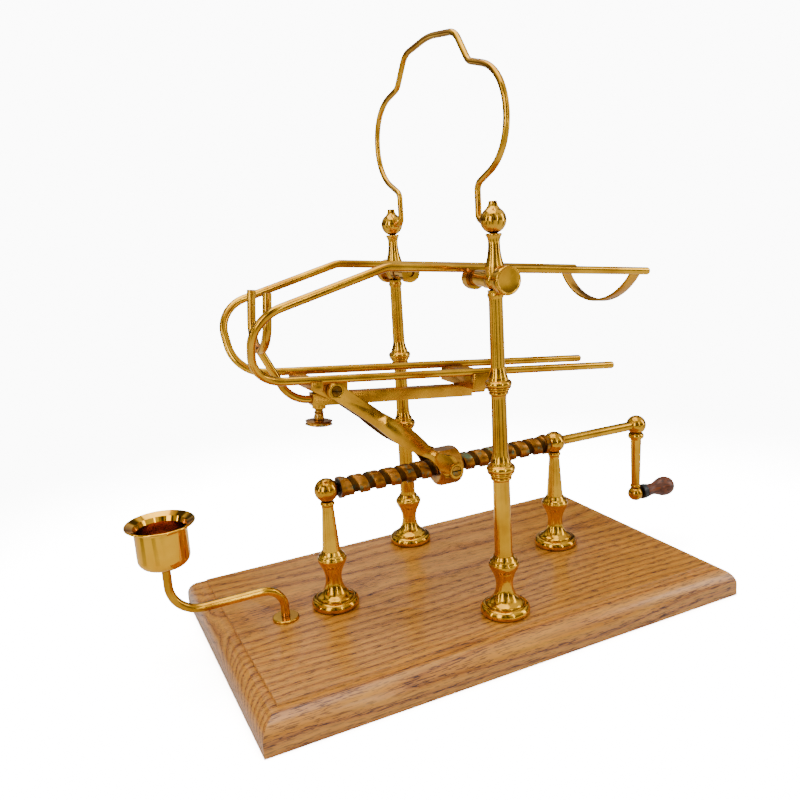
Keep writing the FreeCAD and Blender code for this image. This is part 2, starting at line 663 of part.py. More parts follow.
def make_trunnion_screws():
    """Large plain-headed screws from outside, and the spacers between pillar and lug."""
    screws = []
    spacers = []
    head = turned([
        (0, 0),
        (TRUNNION_HEAD_RADIUS - 0.3, 0),
        (TRUNNION_HEAD_RADIUS, 0.3),
        (TRUNNION_HEAD_RADIUS, TRUNNION_HEAD_THICKNESS - 1.2, 0.3),
        (TRUNNION_HEAD_RADIUS - 1.0, TRUNNION_HEAD_THICKNESS - 0.3),
        (TRUNNION_HEAD_RADIUS - 1.6, TRUNNION_HEAD_THICKNESS - 0.5),
        (0, TRUNNION_HEAD_THICKNESS - 0.5),
    ])
    for side in (-1, 1):
        outward = vec(0, side, 0)
        head_y = side * (PILLAR_Y + TRUNNION_BOSS_REACH)
        tip_y = side * (LUG_INNER_Y + SIDE_GAP)
        disc = aimed(head, outward, 0, head_y, TRUNNION_Z)
        pin = rod(TRUNNION_PIN_RADIUS, vec(0, head_y, TRUNNION_Z), vec(0, tip_y, TRUNNION_Z))
        screws.append(disc.fuse(pin))
        cheek_y = side * (PILLAR_Y - TRUNNION_BOSS_REACH)
        inner_y = side * (LUG_OUTER_Y + SIDE_GAP)
        sleeve = rod(SPACER_RADIUS, vec(0, cheek_y, TRUNNION_Z), vec(0, inner_y, TRUNNION_Z))
        bore = rod(TRUNNION_PIN_RADIUS + SEAT_FIT, vec(0, cheek_y, TRUNNION_Z), vec(0, inner_y, TRUNNION_Z))
        spacers.append(sleeve.cut(bore))
    save("trunnion_screws", Part.Compound(screws))
    save("trunnion_spacers", Part.Compound(spacers))


# ------------------------------------------------------------------ the cradle
def rail_points():
    """Corners of the near rail in the cradle's frame."""
    return [
        vec(RAIL_BACK, -UPPER_RAIL_Y, UPPER_RAIL_W),
        vec(RAIL_BEND, -UPPER_RAIL_Y, UPPER_RAIL_W),
        vec(CURL_FRONT, -UPPER_RAIL_Y, UPPER_RAIL_W - CURL_DROP),
        vec(CURL_FRONT + CURL_TUCK, -LOWER_RAIL_Y, LOWER_RAIL_W),
        vec(LOWER_RAIL_BACK, -LOWER_RAIL_Y, LOWER_RAIL_W),
    ]


def near_rail():
    points = rail_points()
    rail = bent_rod(RAIL_RADIUS, points, [RAIL_BEND_RADIUS, CURL_RADIUS, CURL_RADIUS])
    return rounded_ends(rail, RAIL_END_ROUND, [points[0], points[-1]])


def rail_room():
    """Straight rods where the rails run, cut from all that is brazed to them."""
    rods = []
    for side in (-1, 1):
        for y, w, back in ((UPPER_RAIL_Y, UPPER_RAIL_W, RAIL_BACK),
                           (LOWER_RAIL_Y, LOWER_RAIL_W, LOWER_RAIL_BACK)):
            rods.append(rod(RAIL_RADIUS, vec(RAIL_BEND - 50, side * y, w), vec(back + 5, side * y, w)))
    return Part.Compound(rods)


def rear_strap():
    """Curved band hung between the upper rails behind the bottle's base."""
    half = UPPER_RAIL_Y
    radius = (half ** 2 + STRAP_SAG ** 2) / (2 * STRAP_SAG)
    centre_w = UPPER_RAIL_W + radius - STRAP_SAG
    u0 = STRAP_BACK - STRAP_WIDTH / 2
    ring = rod(radius + STRAP_THICKNESS / 2, vec(u0, 0, centre_w), vec(u0 + STRAP_WIDTH, 0, centre_w))
    ring = ring.cut(rod(radius - STRAP_THICKNESS / 2, vec(u0, 0, centre_w),
                        vec(u0 + STRAP_WIDTH, 0, centre_w)))
    keep = box(u0, u0 + STRAP_WIDTH, -half, half, UPPER_RAIL_W - STRAP_SAG - STRAP_THICKNESS,
               UPPER_RAIL_W)
    return ring.common(keep).cut(rail_room())


def saddle(middle_u):
    """Cross bar brazed under the lower rails and on top of the slide tube."""
    half_y = LOWER_RAIL_Y + SADDLE_OVERHANG
    bar = box(middle_u - SADDLE_HALF_LENGTH, middle_u + SADDLE_HALF_LENGTH, -half_y, half_y,
              TUBE_TOP_W, LOWER_RAIL_W - RAIL_RADIUS + SADDLE_BITE)
    upright = [e for e in bar.Edges if abs(e.Vertexes[0].X - e.Vertexes[1].X) < 1e-6
               and abs(e.Vertexes[0].Y - e.Vertexes[1].Y) < 1e-6]
    return bar.makeFillet(SADDLE_ROUND, upright).cut(rail_room())


def pivot_block():
    """Casting over the front of the tube: top plate and two cheeks with the link pivot."""
    half = PIVOT_BLOCK_HALF_WIDTH
    top = LOWER_RAIL_W - RAIL_RADIUS - 0.1
    low = -PIVOT_DROP - CHEEK_REACH
    side = [
        vec(PIVOT_BLOCK_FRONT, -half, top),
        vec(PIVOT_BLOCK_BACK, -half, top),
        vec(PIVOT_BLOCK_BACK, -half, low + 1.5),
        vec(PIVOT_U + 1.5, -half, low),
        vec(PIVOT_U - 3.0, -half, low),
        vec(PIVOT_BLOCK_FRONT, -half, top - CHEEK_NOSE),
    ]
    block = prism(side, Y_AXIS, 2 * half)
    wing_half = LOWER_RAIL_Y + SADDLE_OVERHANG
    wing = box(PIVOT_BLOCK_FRONT, PIVOT_BLOCK_FRONT + 6.5, -wing_half, wing_half,
               top - CHEEK_NOSE, top + SADDLE_BITE)
    wing = wing.makeFillet(SADDLE_ROUND, [
        e for e in wing.Edges if abs(e.Vertexes[0].X - e.Vertexes[1].X) < 1e-6
        and abs(e.Vertexes[0].Y - e.Vertexes[1].Y) < 1e-6])
    tube_room = box(TUBE_FRONT, TUBE_BACK, -TUBE_SIZE / 2, TUBE_SIZE / 2, TUBE_UNDER_W, TUBE_TOP_W)
    pin_bore = rod(PIVOT_SCREW_RADIUS + SEAT_FIT, vec(PIVOT_U, -half, -PIVOT_DROP),
                   vec(PIVOT_U, half, -PIVOT_DROP))
    return block.fuse(wing).cut(tube_room).cut(rail_room()).cut(pin_bore)


def slide_tube():
    """Square tube bored round for the neck rest's rod, with a boss for the thumbscrew."""
    half = TUBE_SIZE / 2
    tube = box(TUBE_FRONT, TUBE_BACK, -half, half, TUBE_UNDER_W, TUBE_TOP_W)
    boss = Part.makeCylinder(THUMB_BOSS_RADIUS, THUMB_BOSS_HEIGHT,
                             vec(THUMB_U, 0, TUBE_UNDER_W - THUMB_BOSS_HEIGHT))
    bore = rod(SLIDE_ROD_RADIUS + RUNNING_FIT, vec(TUBE_FRONT, 0, -TUBE_DROP),
               vec(TUBE_BACK, 0, -TUBE_DROP))
    screw_bore = Part.makeCylinder(THUMB_SCREW_RADIUS + RUNNING_FIT, THUMB_BOSS_HEIGHT + half,
                                   vec(THUMB_U, 0, TUBE_UNDER_W - THUMB_BOSS_HEIGHT))
    return tube.fuse(boss).cut(bore).cut(screw_bore)


def near_lug():
    """Eye brazed to the side of an upper rail, which turns on the trunnion screw."""
    eye = rod(LUG_RADIUS, vec(0, -LUG_OUTER_Y, 0), vec(0, -LUG_INNER_Y, 0))
    pin_room = rod(TRUNNION_PIN_RADIUS + RUNNING_FIT, vec(0, -LUG_OUTER_Y, 0), vec(0, -LUG_INNER_Y, 0))
    below = box(-LUG_RADIUS, LUG_RADIUS, -LUG_OUTER_Y, -LUG_INNER_Y, -LUG_RADIUS, UPPER_RAIL_W)
    bottle_room = rod(BOTTLE_RADIUS + BOTTLE_PLAY, vec(-LUG_RADIUS, 0, -BOTTLE_AXIS_DROP),
                      vec(LUG_RADIUS, 0, -BOTTLE_AXIS_DROP))
    return eye.common(below).cut(pin_room).cut(rail_room()).cut(bottle_room)


def pivot_screws_upper():
    """Slotted screws on which the links turn, held in the pivot block."""
    screws = []
    seat = LINK_UPPER_Y + LINK_THICKNESS + EYE_RING_HEIGHT - EYE_RECESS_DEPTH
    head = slotted_head(PIVOT_SCREW_HEAD_RADIUS, EYE_RECESS_DEPTH, SLOT_WIDTH, SLOT_DEPTH)
    for side in (-1, 1):
        cap = aimed(head, vec(0, side, 0), PIVOT_U, side * (seat + SIDE_GAP / 2), -PIVOT_DROP)
        inner = PIVOT_BLOCK_HALF_WIDTH - PIVOT_SCREW_ENTRY
        shank = rod(PIVOT_SCREW_RADIUS, vec(PIVOT_U, side * (seat + SIDE_GAP), -PIVOT_DROP),
                    vec(PIVOT_U, side * inner, -PIVOT_DROP))
        screws.append(cap.fuse(shank))
    return Part.Compound(screws)


def make_cradle():
    rail = near_rail()
    lug = near_lug()
    save("rail_near", tipped(rail))
    save("rail_far", tipped(mirrored(rail)))
    save("trunnion_lug_near", tipped(lug))
    save("trunnion_lug_far", tipped(mirrored(lug)))
    save("rear_strap", tipped(rear_strap()))
    save("rear_saddle", tipped(saddle(REAR_SADDLE)))
    save("pivot_block", tipped(pivot_block()))
    save("slide_tube", tipped(slide_tube()))
    save("upper_pivot_screws", tipped(pivot_screws_upper()))


# --------------------------------------------------------------- the neck rest
def make_neck_rest():
    """U-shaped fork under the bottle's neck, on a rod that slides in the square tube."""
    legs = [
        vec(FORK_U, -FORK_HALF_WIDTH, FORK_TOP),
        vec(FORK_U, -FORK_HALF_WIDTH, FORK_BOTTOM),
        vec(FORK_U, FORK_HALF_WIDTH, FORK_BOTTOM),
        vec(FORK_U, FORK_HALF_WIDTH, FORK_TOP),
    ]
    bend = FORK_HALF_WIDTH - 0.2
    fork = bent_rod(FORK_RADIUS, legs, [bend, bend])
    stem_points = [
        vec(FORK_U, 0, FORK_BOTTOM),
        vec(STEM_KNEE, 0, -TUBE_DROP),
        vec(SLIDE_ROD_BACK, 0, -TUBE_DROP),
    ]
    stem = bent_rod(SLIDE_ROD_RADIUS, stem_points, [STEM_RADIUS])
    stem = rounded_ends(stem, 0.8, [stem_points[-1]])
    save("neck_fork", tipped(fork))
    save("slide_rod", tipped(stem.cut(fork)))


def make_thumbscrew():
    """Round-headed clamp screw that bears on the slide rod."""
    tip = THUMB_BOSS_HEIGHT + TUBE_SIZE / 2 - SLIDE_ROD_RADIUS - 0.25
    neck_end = -THUMB_NECK_HEIGHT
    disc_end = neck_end - THUMB_DISC_THICKNESS
    screw = turned([
        (0, tip),
        (THUMB_SCREW_RADIUS - 0.3, tip),
        (THUMB_SCREW_RADIUS, tip - 0.3),
        (THUMB_SCREW_RADIUS, -SIDE_GAP),
        (THUMB_BEAD_RADIUS - 0.4, -SIDE_GAP, 0.55),
        (THUMB_BEAD_RADIUS - 0.3, -2.4),
        (THUMB_NECK_RADIUS - 0.5, -2.8, -0.3),
        (THUMB_NECK_RADIUS, neck_end, -0.2),
        (THUMB_DISC_RADIUS - 0.7, neck_end - 0.5, 0.45),
        (THUMB_DISC_RADIUS - 0.6, disc_end + 0.6, 0.1),
        (THUMB_DISC_RADIUS - 2.4, disc_end),
        (0, disc_end),
    ])
    save("thumbscrew", tipped(at(screw, THUMB_U, 0, TUBE_UNDER_W - THUMB_BOSS_HEIGHT)))


# ------------------------------------------------------- screw, nut and crank
def threaded_rod(radius, root, groove_width, pitches):
    """Rod on the screw's axis with a helical groove, that many pitches each way from x = 0."""
    helix = Part.makeHelix(SCREW_LEAD, SCREW_LEAD, root)
    half = groove_width / 2
    mouth = half + GROOVE_FLARE / 2
    section = [vec(root - CORE_OVERLAP, 0, -half), vec(radius + 0.6, 0, -mouth),
               vec(radius + 0.6, 0, mouth), vec(root - CORE_OVERLAP, 0, half)]
    section = Part.makePolygon(section + [section[0]])
    turn = Part.Wire(helix.Edges).makePipeShell([section], True, True)
    turns = [at(turn, z=k * SCREW_LEAD) for k in (-1, 0, 1)]
    unit = Part.makeCylinder(radius, SCREW_LEAD).cut(turns, SEAM_TOLERANCE)
    unit = unit.fuse(Part.makeCylinder(root, SCREW_LEAD))
    units = [at(unit, z=k * SCREW_LEAD) for k in range(-pitches, pitches)]
    return aimed(units[0].fuse(units[1:]), X_AXIS, z=SCREW_Z)


def make_lead_screw():
    left = SCREW_LEFT_END + COLLAR_THICKNESS
    right = SCREW_RIGHT_END - COLLAR_THICKNESS
    pitches = math.ceil(POST_X / SCREW_LEAD)
    screw = threaded_rod(SCREW_RADIUS, SCREW_RADIUS - GROOVE_DEPTH, GROOVE_WIDTH, pitches)
    screw = screw.common(rod(SCREW_RADIUS + 1, vec(left, 0, SCREW_Z), vec(right, 0, SCREW_Z)))
    journal = rod(JOURNAL_RADIUS, vec(-POST_X - 1.6, 0, SCREW_Z), vec(left, 0, SCREW_Z))
    socket = rod(SHAFT_SPIGOT_RADIUS + SEAT_FIT, vec(right - SHAFT_SPIGOT_LENGTH - 0.5, 0, SCREW_Z),
                 vec(right, 0, SCREW_Z))
    save("lead_screw", screw.fuse(journal).cut(socket))
    collar = rod(COLLAR_RADIUS, vec(SCREW_LEFT_END, 0, SCREW_Z), vec(left, 0, SCREW_Z))
    journal_room = rod(JOURNAL_RADIUS + SEAT_FIT, vec(SCREW_LEFT_END, 0, SCREW_Z), vec(left, 0, SCREW_Z))
    save("thrust_collar_left", collar.cut(journal_room))
    shaft_collar = rod(COLLAR_RADIUS, vec(right, 0, SCREW_Z), vec(SCREW_RIGHT_END, 0, SCREW_Z))
    shaft_room = rod(CRANK_SHAFT_RADIUS + SEAT_FIT, vec(right, 0, SCREW_Z), vec(SCREW_RIGHT_END, 0, SCREW_Z))
    save("thrust_collar_right", shaft_collar.cut(shaft_room))
    shaft = rod(CRANK_SHAFT_RADIUS, vec(right, 0, SCREW_Z), vec(CRANK_X - 1.0, 0, SCREW_Z))
    spigot = rod(SHAFT_SPIGOT_RADIUS, vec(right - SHAFT_SPIGOT_LENGTH, 0, SCREW_Z), vec(right, 0, SCREW_Z))
    save("crank_shaft", shaft.fuse(spigot))


def make_crank():
    collar_top = SCREW_Z - CRANK_BALL_RADIUS + 0.5
    collar_low = collar_top - CRANK_COLLAR_HEIGHT
    ball = Part.makeSphere(CRANK_BALL_RADIUS, vec(0, 0, SCREW_Z))
    collar = turned([
        (0, SCREW_Z - 2.0),
        (0, collar_low),
        (CRANK_COLLAR_RADIUS - 0.6, collar_low, 0.6),
        (CRANK_COLLAR_RADIUS - 0.6, collar_top),
        (3.4, collar_top),
        (3.4, SCREW_Z - 2.0),
    ])
    shaft_room = rod(CRANK_SHAFT_RADIUS + SEAT_FIT, vec(-CRANK_BALL_RADIUS, 0, SCREW_Z),
                     vec(-1.0 + 0.2, 0, SCREW_Z))
    arm_room = Part.makeCylinder(FINIAL_SPIGOT_RADIUS + SEAT_FIT, FINIAL_SPIGOT_LENGTH + 0.3,
                                 vec(0, 0, collar_low))
    hub = ball.fuse(collar).cut(shaft_room).cut(arm_room)
    save("crank_ball", at(hub, CRANK_X))
    knuckle_top = KNOB_Z + KNUCKLE_RADIUS - 0.5
    bead_top = knuckle_top + 2.0
    arm = turned([
        (0, bead_top),
        (CRANK_ARM_END_RADIUS, bead_top),
        (CRANK_ARM_TOP_RADIUS, collar_low - 1.0),
        (CRANK_ARM_TOP_RADIUS + 0.3, collar_low),
        (FINIAL_SPIGOT_RADIUS, collar_low),
        (FINIAL_SPIGOT_RADIUS, collar_low + FINIAL_SPIGOT_LENGTH),
        (0, collar_low + FINIAL_SPIGOT_LENGTH),
    ])
    pin_low = KNOB_Z + SPINDLE_RADIUS + SIDE_GAP
    pin = Part.makeCylinder(FINIAL_SPIGOT_RADIUS, bead_top - pin_low, vec(0, 0, pin_low))
    save("crank_arm", at(arm.fuse(pin), CRANK_X))
    bead = turned([
        (0, KNOB_Z),
        (2.4, KNOB_Z),
        (2.4, knuckle_top),
        (KNUCKLE_BEAD_RADIUS - 0.5, knuckle_top, 0.5),
        (KNUCKLE_BEAD_RADIUS - 0.4, bead_top),
        (0, bead_top),
    ])
    knuckle = Part.makeSphere(KNUCKLE_RADIUS, vec(0, 0, KNOB_Z)).fuse(bead)
    pin_room = Part.makeCylinder(FINIAL_SPIGOT_RADIUS + SEAT_FIT, bead_top - KNOB_Z, vec(0, 0, KNOB_Z))
    facing = box(KNUCKLE_RADIUS - 0.5, KNUCKLE_RADIUS + 1, -6, 6, KNOB_Z - 6, KNOB_Z + 6)
    spindle_room = rod(SPINDLE_RADIUS + SEAT_FIT, vec(-1.0, 0, KNOB_Z), vec(KNUCKLE_RADIUS, 0, KNOB_Z))
    save("crank_knuckle", at(knuckle.cut(pin_room).cut(facing).cut(spindle_room), CRANK_X))


def make_knob():
    """Turned wooden knob with its ferrule, free to spin on a spindle."""
    root = CRANK_X + KNUCKLE_RADIUS - 0.5
    start = root + SIDE_GAP
    wood = start + FERRULE_LENGTH
    reach = KNOB_LENGTH - KNOB_BALL_RADIUS
    join = 4.6
    join_z = reach - math.sqrt(KNOB_BALL_RADIUS ** 2 - join ** 2)
    knob = turned([
        (0, 0),
        (KNOB_BASE_RADIUS - 0.3, 0),
        (KNOB_BASE_RADIUS, 0.4),
        (KNOB_BASE_RADIUS, 1.2, -0.1),
        (KNOB_NECK_RADIUS, 5.6, -0.35),
        (join, join_z),
        (0, join_z),
    ])
    knob = knob.fuse(Part.makeSphere(KNOB_BALL_RADIUS, vec(0, 0, reach)))
    head_room = 2.6
    bore_length = KNOB_LENGTH - 7.0
    bore = Part.makeCylinder(SPINDLE_RADIUS + RUNNING_FIT, bore_length)
    cap_bore = Part.makeCylinder(head_room, bore_length, vec(0, 0, KNOB_LENGTH - 5.0))
    knob = knob.cut(bore).cut(cap_bore)
    bore_through = Part.makeCylinder(SPINDLE_RADIUS + RUNNING_FIT, KNOB_LENGTH)
    knob = knob.cut(bore_through)
    save("wooden_knob", aimed(knob, X_AXIS, wood, 0, KNOB_Z))
    ferrule = turned([
        (SPINDLE_RADIUS + RUNNING_FIT, 0),
        (FERRULE_RADIUS - 0.4, 0),
        (FERRULE_RADIUS, 0.4),
        (FERRULE_RADIUS, FERRULE_LENGTH - 0.4),
        (FERRULE_RADIUS - 0.4, FERRULE_LENGTH),
        (SPINDLE_RADIUS + RUNNING_FIT, FERRULE_LENGTH),
    ])
    save("knob_ferrule", aimed(ferrule, X_AXIS, start, 0, KNOB_Z))
    head_x = wood + KNOB_LENGTH - 5.0 + SIDE_GAP
    spindle = rod(SPINDLE_RADIUS, vec(CRANK_X - 0.8, 0, KNOB_Z), vec(head_x, 0, KNOB_Z))
    cap = aimed(slotted_head(head_room - SIDE_GAP, 2.0, SLOT_WIDTH, SLOT_DEPTH), X_AXIS, head_x, 0, KNOB_Z)
    save("knob_spindle", spindle.fuse(cap))


def nut_body():
    """Eight-sided block about the screw axis, with its ends rounded over."""
    half = NUT_ACROSS / 2
    flat = half - NUT_CORNER
    corners = [(half, flat), (flat, half), (-flat, half), (-half, flat),
               (-half, -flat), (-flat, -half), (flat, -half), (half, -flat)]
    x0 = NUT_REST_X - NUT_LENGTH / 2
    block = prism([vec(x0, y, SCREW_Z + z) for y, z in corners], X_AXIS, NUT_LENGTH)
    corner_radius = math.hypot(half, flat)
    round_over = turned([
        (0, -NUT_LENGTH / 2),
        (corner_radius - NUT_END_ROUND, -NUT_LENGTH / 2, 0.5),
        (corner_radius, -NUT_LENGTH / 2 + NUT_END_ROUND),
        (corner_radius, NUT_LENGTH / 2 - NUT_END_ROUND, 0.5),
        (corner_radius - NUT_END_ROUND, NUT_LENGTH / 2),
        (0, NUT_LENGTH / 2),
    ])
    return block.common(aimed(round_over, X_AXIS, NUT_REST_X, 0, SCREW_Z))


def make_nut():
    """Travelling nut, cut from its block by a slightly fatter copy of the screw."""
    pitches = math.ceil((abs(NUT_REST_X) + NUT_LENGTH) / SCREW_LEAD)
    root = SCREW_RADIUS - GROOVE_DEPTH + THREAD_FIT
    tap = threaded_rod(SCREW_RADIUS + THREAD_FIT, root, GROOVE_WIDTH - 2 * THREAD_FIT, pitches)
    nut = nut_body().cut(tap)
    for side in (-1, 1):
        face = side * NUT_ACROSS / 2
        pocket = rod(NUT_POCKET_RADIUS, vec(NUT_REST_X, face, SCREW_Z),
                     vec(NUT_REST_X, face - side * NUT_POCKET_DEPTH, SCREW_Z))
        nut = nut.cut(pocket)
    save("travelling_nut", nut)


# ------------------------------------------------------------------- the links
def link_pivots():
    upper = cradle_point(PIVOT_U, 0, -PIVOT_DROP)
    lower = vec(NUT_REST_X, 0, SCREW_Z)
    return upper, lower


def link_outline(length):
    """Flat pattern of a link along +X from its upper pivot, as a plate on z."""
    neck = length - LINK_NECK_SETBACK
    leaf = (LINK_FIRST_BEND + neck) / 2
    first = LINK_FIRST_BEND
    top = [
        (0, LINK_STRIP_HALF_WIDTH),
        (first, LINK_STRIP_HALF_WIDTH, 0.25),
        (leaf, LINK_LEAF_HALF_WIDTH, 0.5),
        (neck, LINK_NECK_HALF_WIDTH, -0.5),
        (length - LINK_LOBE_SETBACK - 1.5, LINK_LOBE_RADIUS - 0.4),
        (length - LINK_LOBE_SETBACK, 0),
        (0, 0),
    ]
    face = Part.Face(Part.Wire(outline_edges([(p[0], p[1], -p[2]) if len(p) > 2 else p for p in top]
                                             + [top[0][:2]])))
    half = face.extrude(vec(0, 40, 0))
    plate = half.fuse(half.mirror(vec(0, 0, 0), Z_AXIS))
    for x, radius in ((0, LINK_STRIP_HALF_WIDTH + 0.5), (length - LINK_LOBE_SETBACK, LINK_LOBE_RADIUS),
                      (length, LINK_EYE_RADIUS)):
        plate = plate.fuse(Part.makeCylinder(radius, 40, vec(x, 0, 0), Y_AXIS))
    return at(plate, y=-20)


def link_slab(length):
    """Cranked slab, seen from above, that the flat pattern is cut from."""
    inner = LINK_UPPER_Y
    middle = LINK_UPPER_Y + LINK_MIDDLE_OFFSET
    outer = LINK_LOWER_Y
    neck = length - LINK_NECK_SETBACK
    line = [
        (-20, inner),
        (LINK_FIRST_BEND, inner),
        (LINK_FIRST_BEND + LINK_BEND_LENGTH, middle),
        (neck - LINK_BEND_LENGTH / 2, middle),
        (neck + LINK_BEND_LENGTH / 2, outer),
        (length + 20, outer),
    ]
    points = [vec(x, -y, -20) for x, y in line]
    points += [vec(x, -y - LINK_THICKNESS, -20) for x, y in reversed(line)]
    return prism(points, Z_AXIS, 40)


def near_link():
    upper, lower = link_pivots()
    length = (lower - upper).Length
    plate = link_outline(length).common(link_slab(length))
    ring_faces = ((0, LINK_UPPER_Y), (length, LINK_LOWER_Y))
    for x, inner in ring_faces:
        outer = -(inner + LINK_THICKNESS)
        ring = rod(LINK_EYE_RADIUS, vec(x, outer, 0), vec(x, outer - EYE_RING_HEIGHT, 0))
        plate = plate.fuse(ring)
    for x, inner in ring_faces:
        outer = -(inner + LINK_THICKNESS + EYE_RING_HEIGHT)
        recess = rod(EYE_RECESS_RADIUS, vec(x, outer, 0), vec(x, outer + EYE_RECESS_DEPTH, 0))
        hole = rod(PIVOT_SCREW_RADIUS + RUNNING_FIT, vec(x, outer, 0), vec(x, -inner, 0))
        plate = plate.cut(recess).cut(hole)
    along = lower - upper
    pitch = -math.degrees(math.atan2(along.z, along.x))
    plate.Placement = FreeCAD.Placement(upper, FreeCAD.Rotation(Y_AXIS, pitch))
    return plate


def make_links():
    link = near_link()
    save("link_near", link)
    save("link_far", mirrored(link))
    lower = link_pivots()[1]
    seat = LINK_LOWER_Y + LINK_THICKNESS + EYE_RING_HEIGHT - EYE_RECESS_DEPTH
    head = slotted_head(PIVOT_SCREW_HEAD_RADIUS, EYE_RECESS_DEPTH, SLOT_WIDTH, SLOT_DEPTH)
    screws = []
    for side in (-1, 1):
        cap = aimed(head, vec(0, side, 0), lower.x, side * seat, lower.z)
        tip = NUT_ACROSS / 2 - NUT_POCKET_DEPTH + SIDE_GAP
        shank = rod(PIVOT_SCREW_RADIUS, vec(lower.x, side * (seat + 0.2), lower.z),
                    vec(lower.x, side * tip, lower.z))
        screws.append(cap.fuse(shank))
    save("lower_pivot_screws", Part.Compound(screws))


# -------------------------------------------------------------- bail handle
def bail_belly():
    """Corners of the equal bends that make up one round belly of the handle."""
    step = math.radians(BAIL_BELLY_SWEEP / BAIL_BELLY_BENDS)
    start = math.radians(BAIL_BELLY_START) + step / 2
    reach = BAIL_BELLY_RADIUS / math.cos(step / 2)
    angles = [start + step * k for k in range(BAIL_BELLY_BENDS)]
    bend = BAIL_BELLY_RADIUS * 0.97
    return [(BAIL_BELLY_Y + reach * math.cos(a), BAIL_BELLY_RISE + reach * math.sin(a), bend)
            for a in angles]


def make_bail():
    """Wire handle with its ends turned outward into the finial balls."""
    pin_y = PILLAR_Y - FINIAL_RADIUS + BAIL_PIN_ENTRY
    legs = [(pin_y, 0.0, None), (BAIL_LEG_Y, 0.0, 3.4), (BAIL_LEG_Y, BAIL_LEG_RISE, 5.0)]
    half = legs + bail_belly() + [
        (BAIL_DIP_Y, BAIL_DIP_RISE, 8.0),
        (BAIL_CROWN_Y, BAIL_CROWN_RISE, 12.0),
    ]
    near = [(vec(0, -y, FINIAL_Z + rise), bend) for y, rise, bend in half]
    far = [(vec(0, y, FINIAL_Z + rise), bend) for y, rise, bend in reversed(half)]
    crown = [(vec(0, 0, FINIAL_Z + BAIL_TOP_RISE), 60.0)]
    corners = near + crown + far
    points = [p for p, bend in corners]
    radii = [bend for p, bend in corners[1:-1]]
    save("bail_handle", bent_rod(BAIL_WIRE_RADIUS, points, radii))


# ------------------------------------------------------------ candle holder
def make_candle_holder():
    root = vec(CANDLE_ROOT_X, 0, 0)
    cup_x = CANDLE_ROOT_X - CANDLE_REACH
    level = BOARD_TOP + CANDLE_ARM_RISE
    cup_z = BOARD_TOP + CANDLE_CUP_RISE
    points = [
        root + vec(0, 0, COUNTERBORE_DEPTH - SIDE_GAP),
        root + vec(0, 0, level),
        vec(cup_x, 0, level),
        vec(cup_x, 0, cup_z),
    ]
    arm = bent_rod(CANDLE_ARM_RADIUS, points, [CANDLE_ROOT_BEND, CANDLE_TIP_BEND])
    lower_stud = Part.makeCylinder(ARM_STUD_RADIUS, COUNTERBORE_DEPTH - 1.8, root + vec(0, 0, 1.5))
    upper_stud = Part.makeCylinder(ARM_STUD_RADIUS, CANDLE_COLLAR_HEIGHT + CUP_WALL, vec(cup_x, 0, cup_z))
    save("candle_arm", arm.fuse(lower_stud).fuse(upper_stud))

    flange = turned([
        (CANDLE_ARM_RADIUS + RUNNING_FIT, 0),
        (CANDLE_FLANGE_RADIUS, 0),
        (CANDLE_FLANGE_RADIUS, CANDLE_FLANGE_THICKNESS - 0.5, 0.1),
        (CANDLE_FLANGE_RADIUS - 0.6, CANDLE_FLANGE_THICKNESS),
        (CANDLE_ARM_RADIUS + RUNNING_FIT, CANDLE_FLANGE_THICKNESS),
    ])
    save("candle_flange", at(flange, CANDLE_ROOT_X, 0, BOARD_TOP))

    nut = Part.Face(Part.makePolygon([
        vec(SOCKET_NUT_ACROSS / math.sqrt(3) * math.cos(math.radians(60 * k)),
            SOCKET_NUT_ACROSS / math.sqrt(3) * math.sin(math.radians(60 * k)), 0)
        for k in range(7)
    ])).extrude(vec(0, 0, SOCKET_NUT_HEIGHT))
    nut = nut.cut(Part.makeCylinder(ARM_STUD_RADIUS + SEAT_FIT, SOCKET_NUT_HEIGHT))
    save("candle_arm_nut", at(nut, CANDLE_ROOT_X, 0, COUNTERBORE_DEPTH - SIDE_GAP - SOCKET_NUT_HEIGHT))

    collar = turned([
        (ARM_STUD_RADIUS + SEAT_FIT, 0),
        (CANDLE_COLLAR_RADIUS - 0.5, 0, 0.5),
        (CANDLE_COLLAR_RADIUS - 0.2, CANDLE_COLLAR_HEIGHT),
        (ARM_STUD_RADIUS + SEAT_FIT, CANDLE_COLLAR_HEIGHT),
    ])
    save("cup_collar", at(collar, cup_x, 0, cup_z))

    inner = CUP_RADIUS - CUP_WALL
    rim = CUP_RIM_RADIUS
    lip_z = CUP_HEIGHT
    waist_z = CUP_HEIGHT - CUP_RIM_FLARE
    hollow = CUP_BASE_ROUND - CUP_WALL
    diagonal = 1.0 - math.sqrt(0.5)
    cup = turned([
        (ARM_STUD_RADIUS + SEAT_FIT, 0),
        (CUP_RADIUS - CUP_BASE_ROUND, 0, CUP_BASE_ROUND * diagonal),
        (CUP_RADIUS, CUP_BASE_ROUND),
        (CUP_RADIUS, waist_z, -0.9),
        (rim, lip_z - CUP_WALL, 0.3),
        (rim - 0.2, lip_z, 0.0),
        (inner + 1.2, waist_z + 1.4),
        (inner, waist_z - 1.0),
        (inner, CUP_BASE_ROUND, -hollow * diagonal),
        (inner - hollow, CUP_WALL),
        (ARM_STUD_RADIUS + SEAT_FIT, CUP_WALL),
    ])
    save("candle_cup", at(cup, cup_x, 0, cup_z + CANDLE_COLLAR_HEIGHT))


def main():
    make_board()
    make_foot_fixings()
    make_pillars()
    make_posts()
    make_trunnion_screws()
    make_cradle()
    make_neck_rest()
    make_thumbscrew()
    make_lead_screw()
    make_crank()
    make_knob()
    make_nut()
    make_links()
    make_bail()
    make_candle_holder()
    os.makedirs("parts", exist_ok=True)
    for name, shape in NODES.items():
        shape.exportStep("parts/" + name + ".step")
    print(len(NODES), "nodes written")


main()
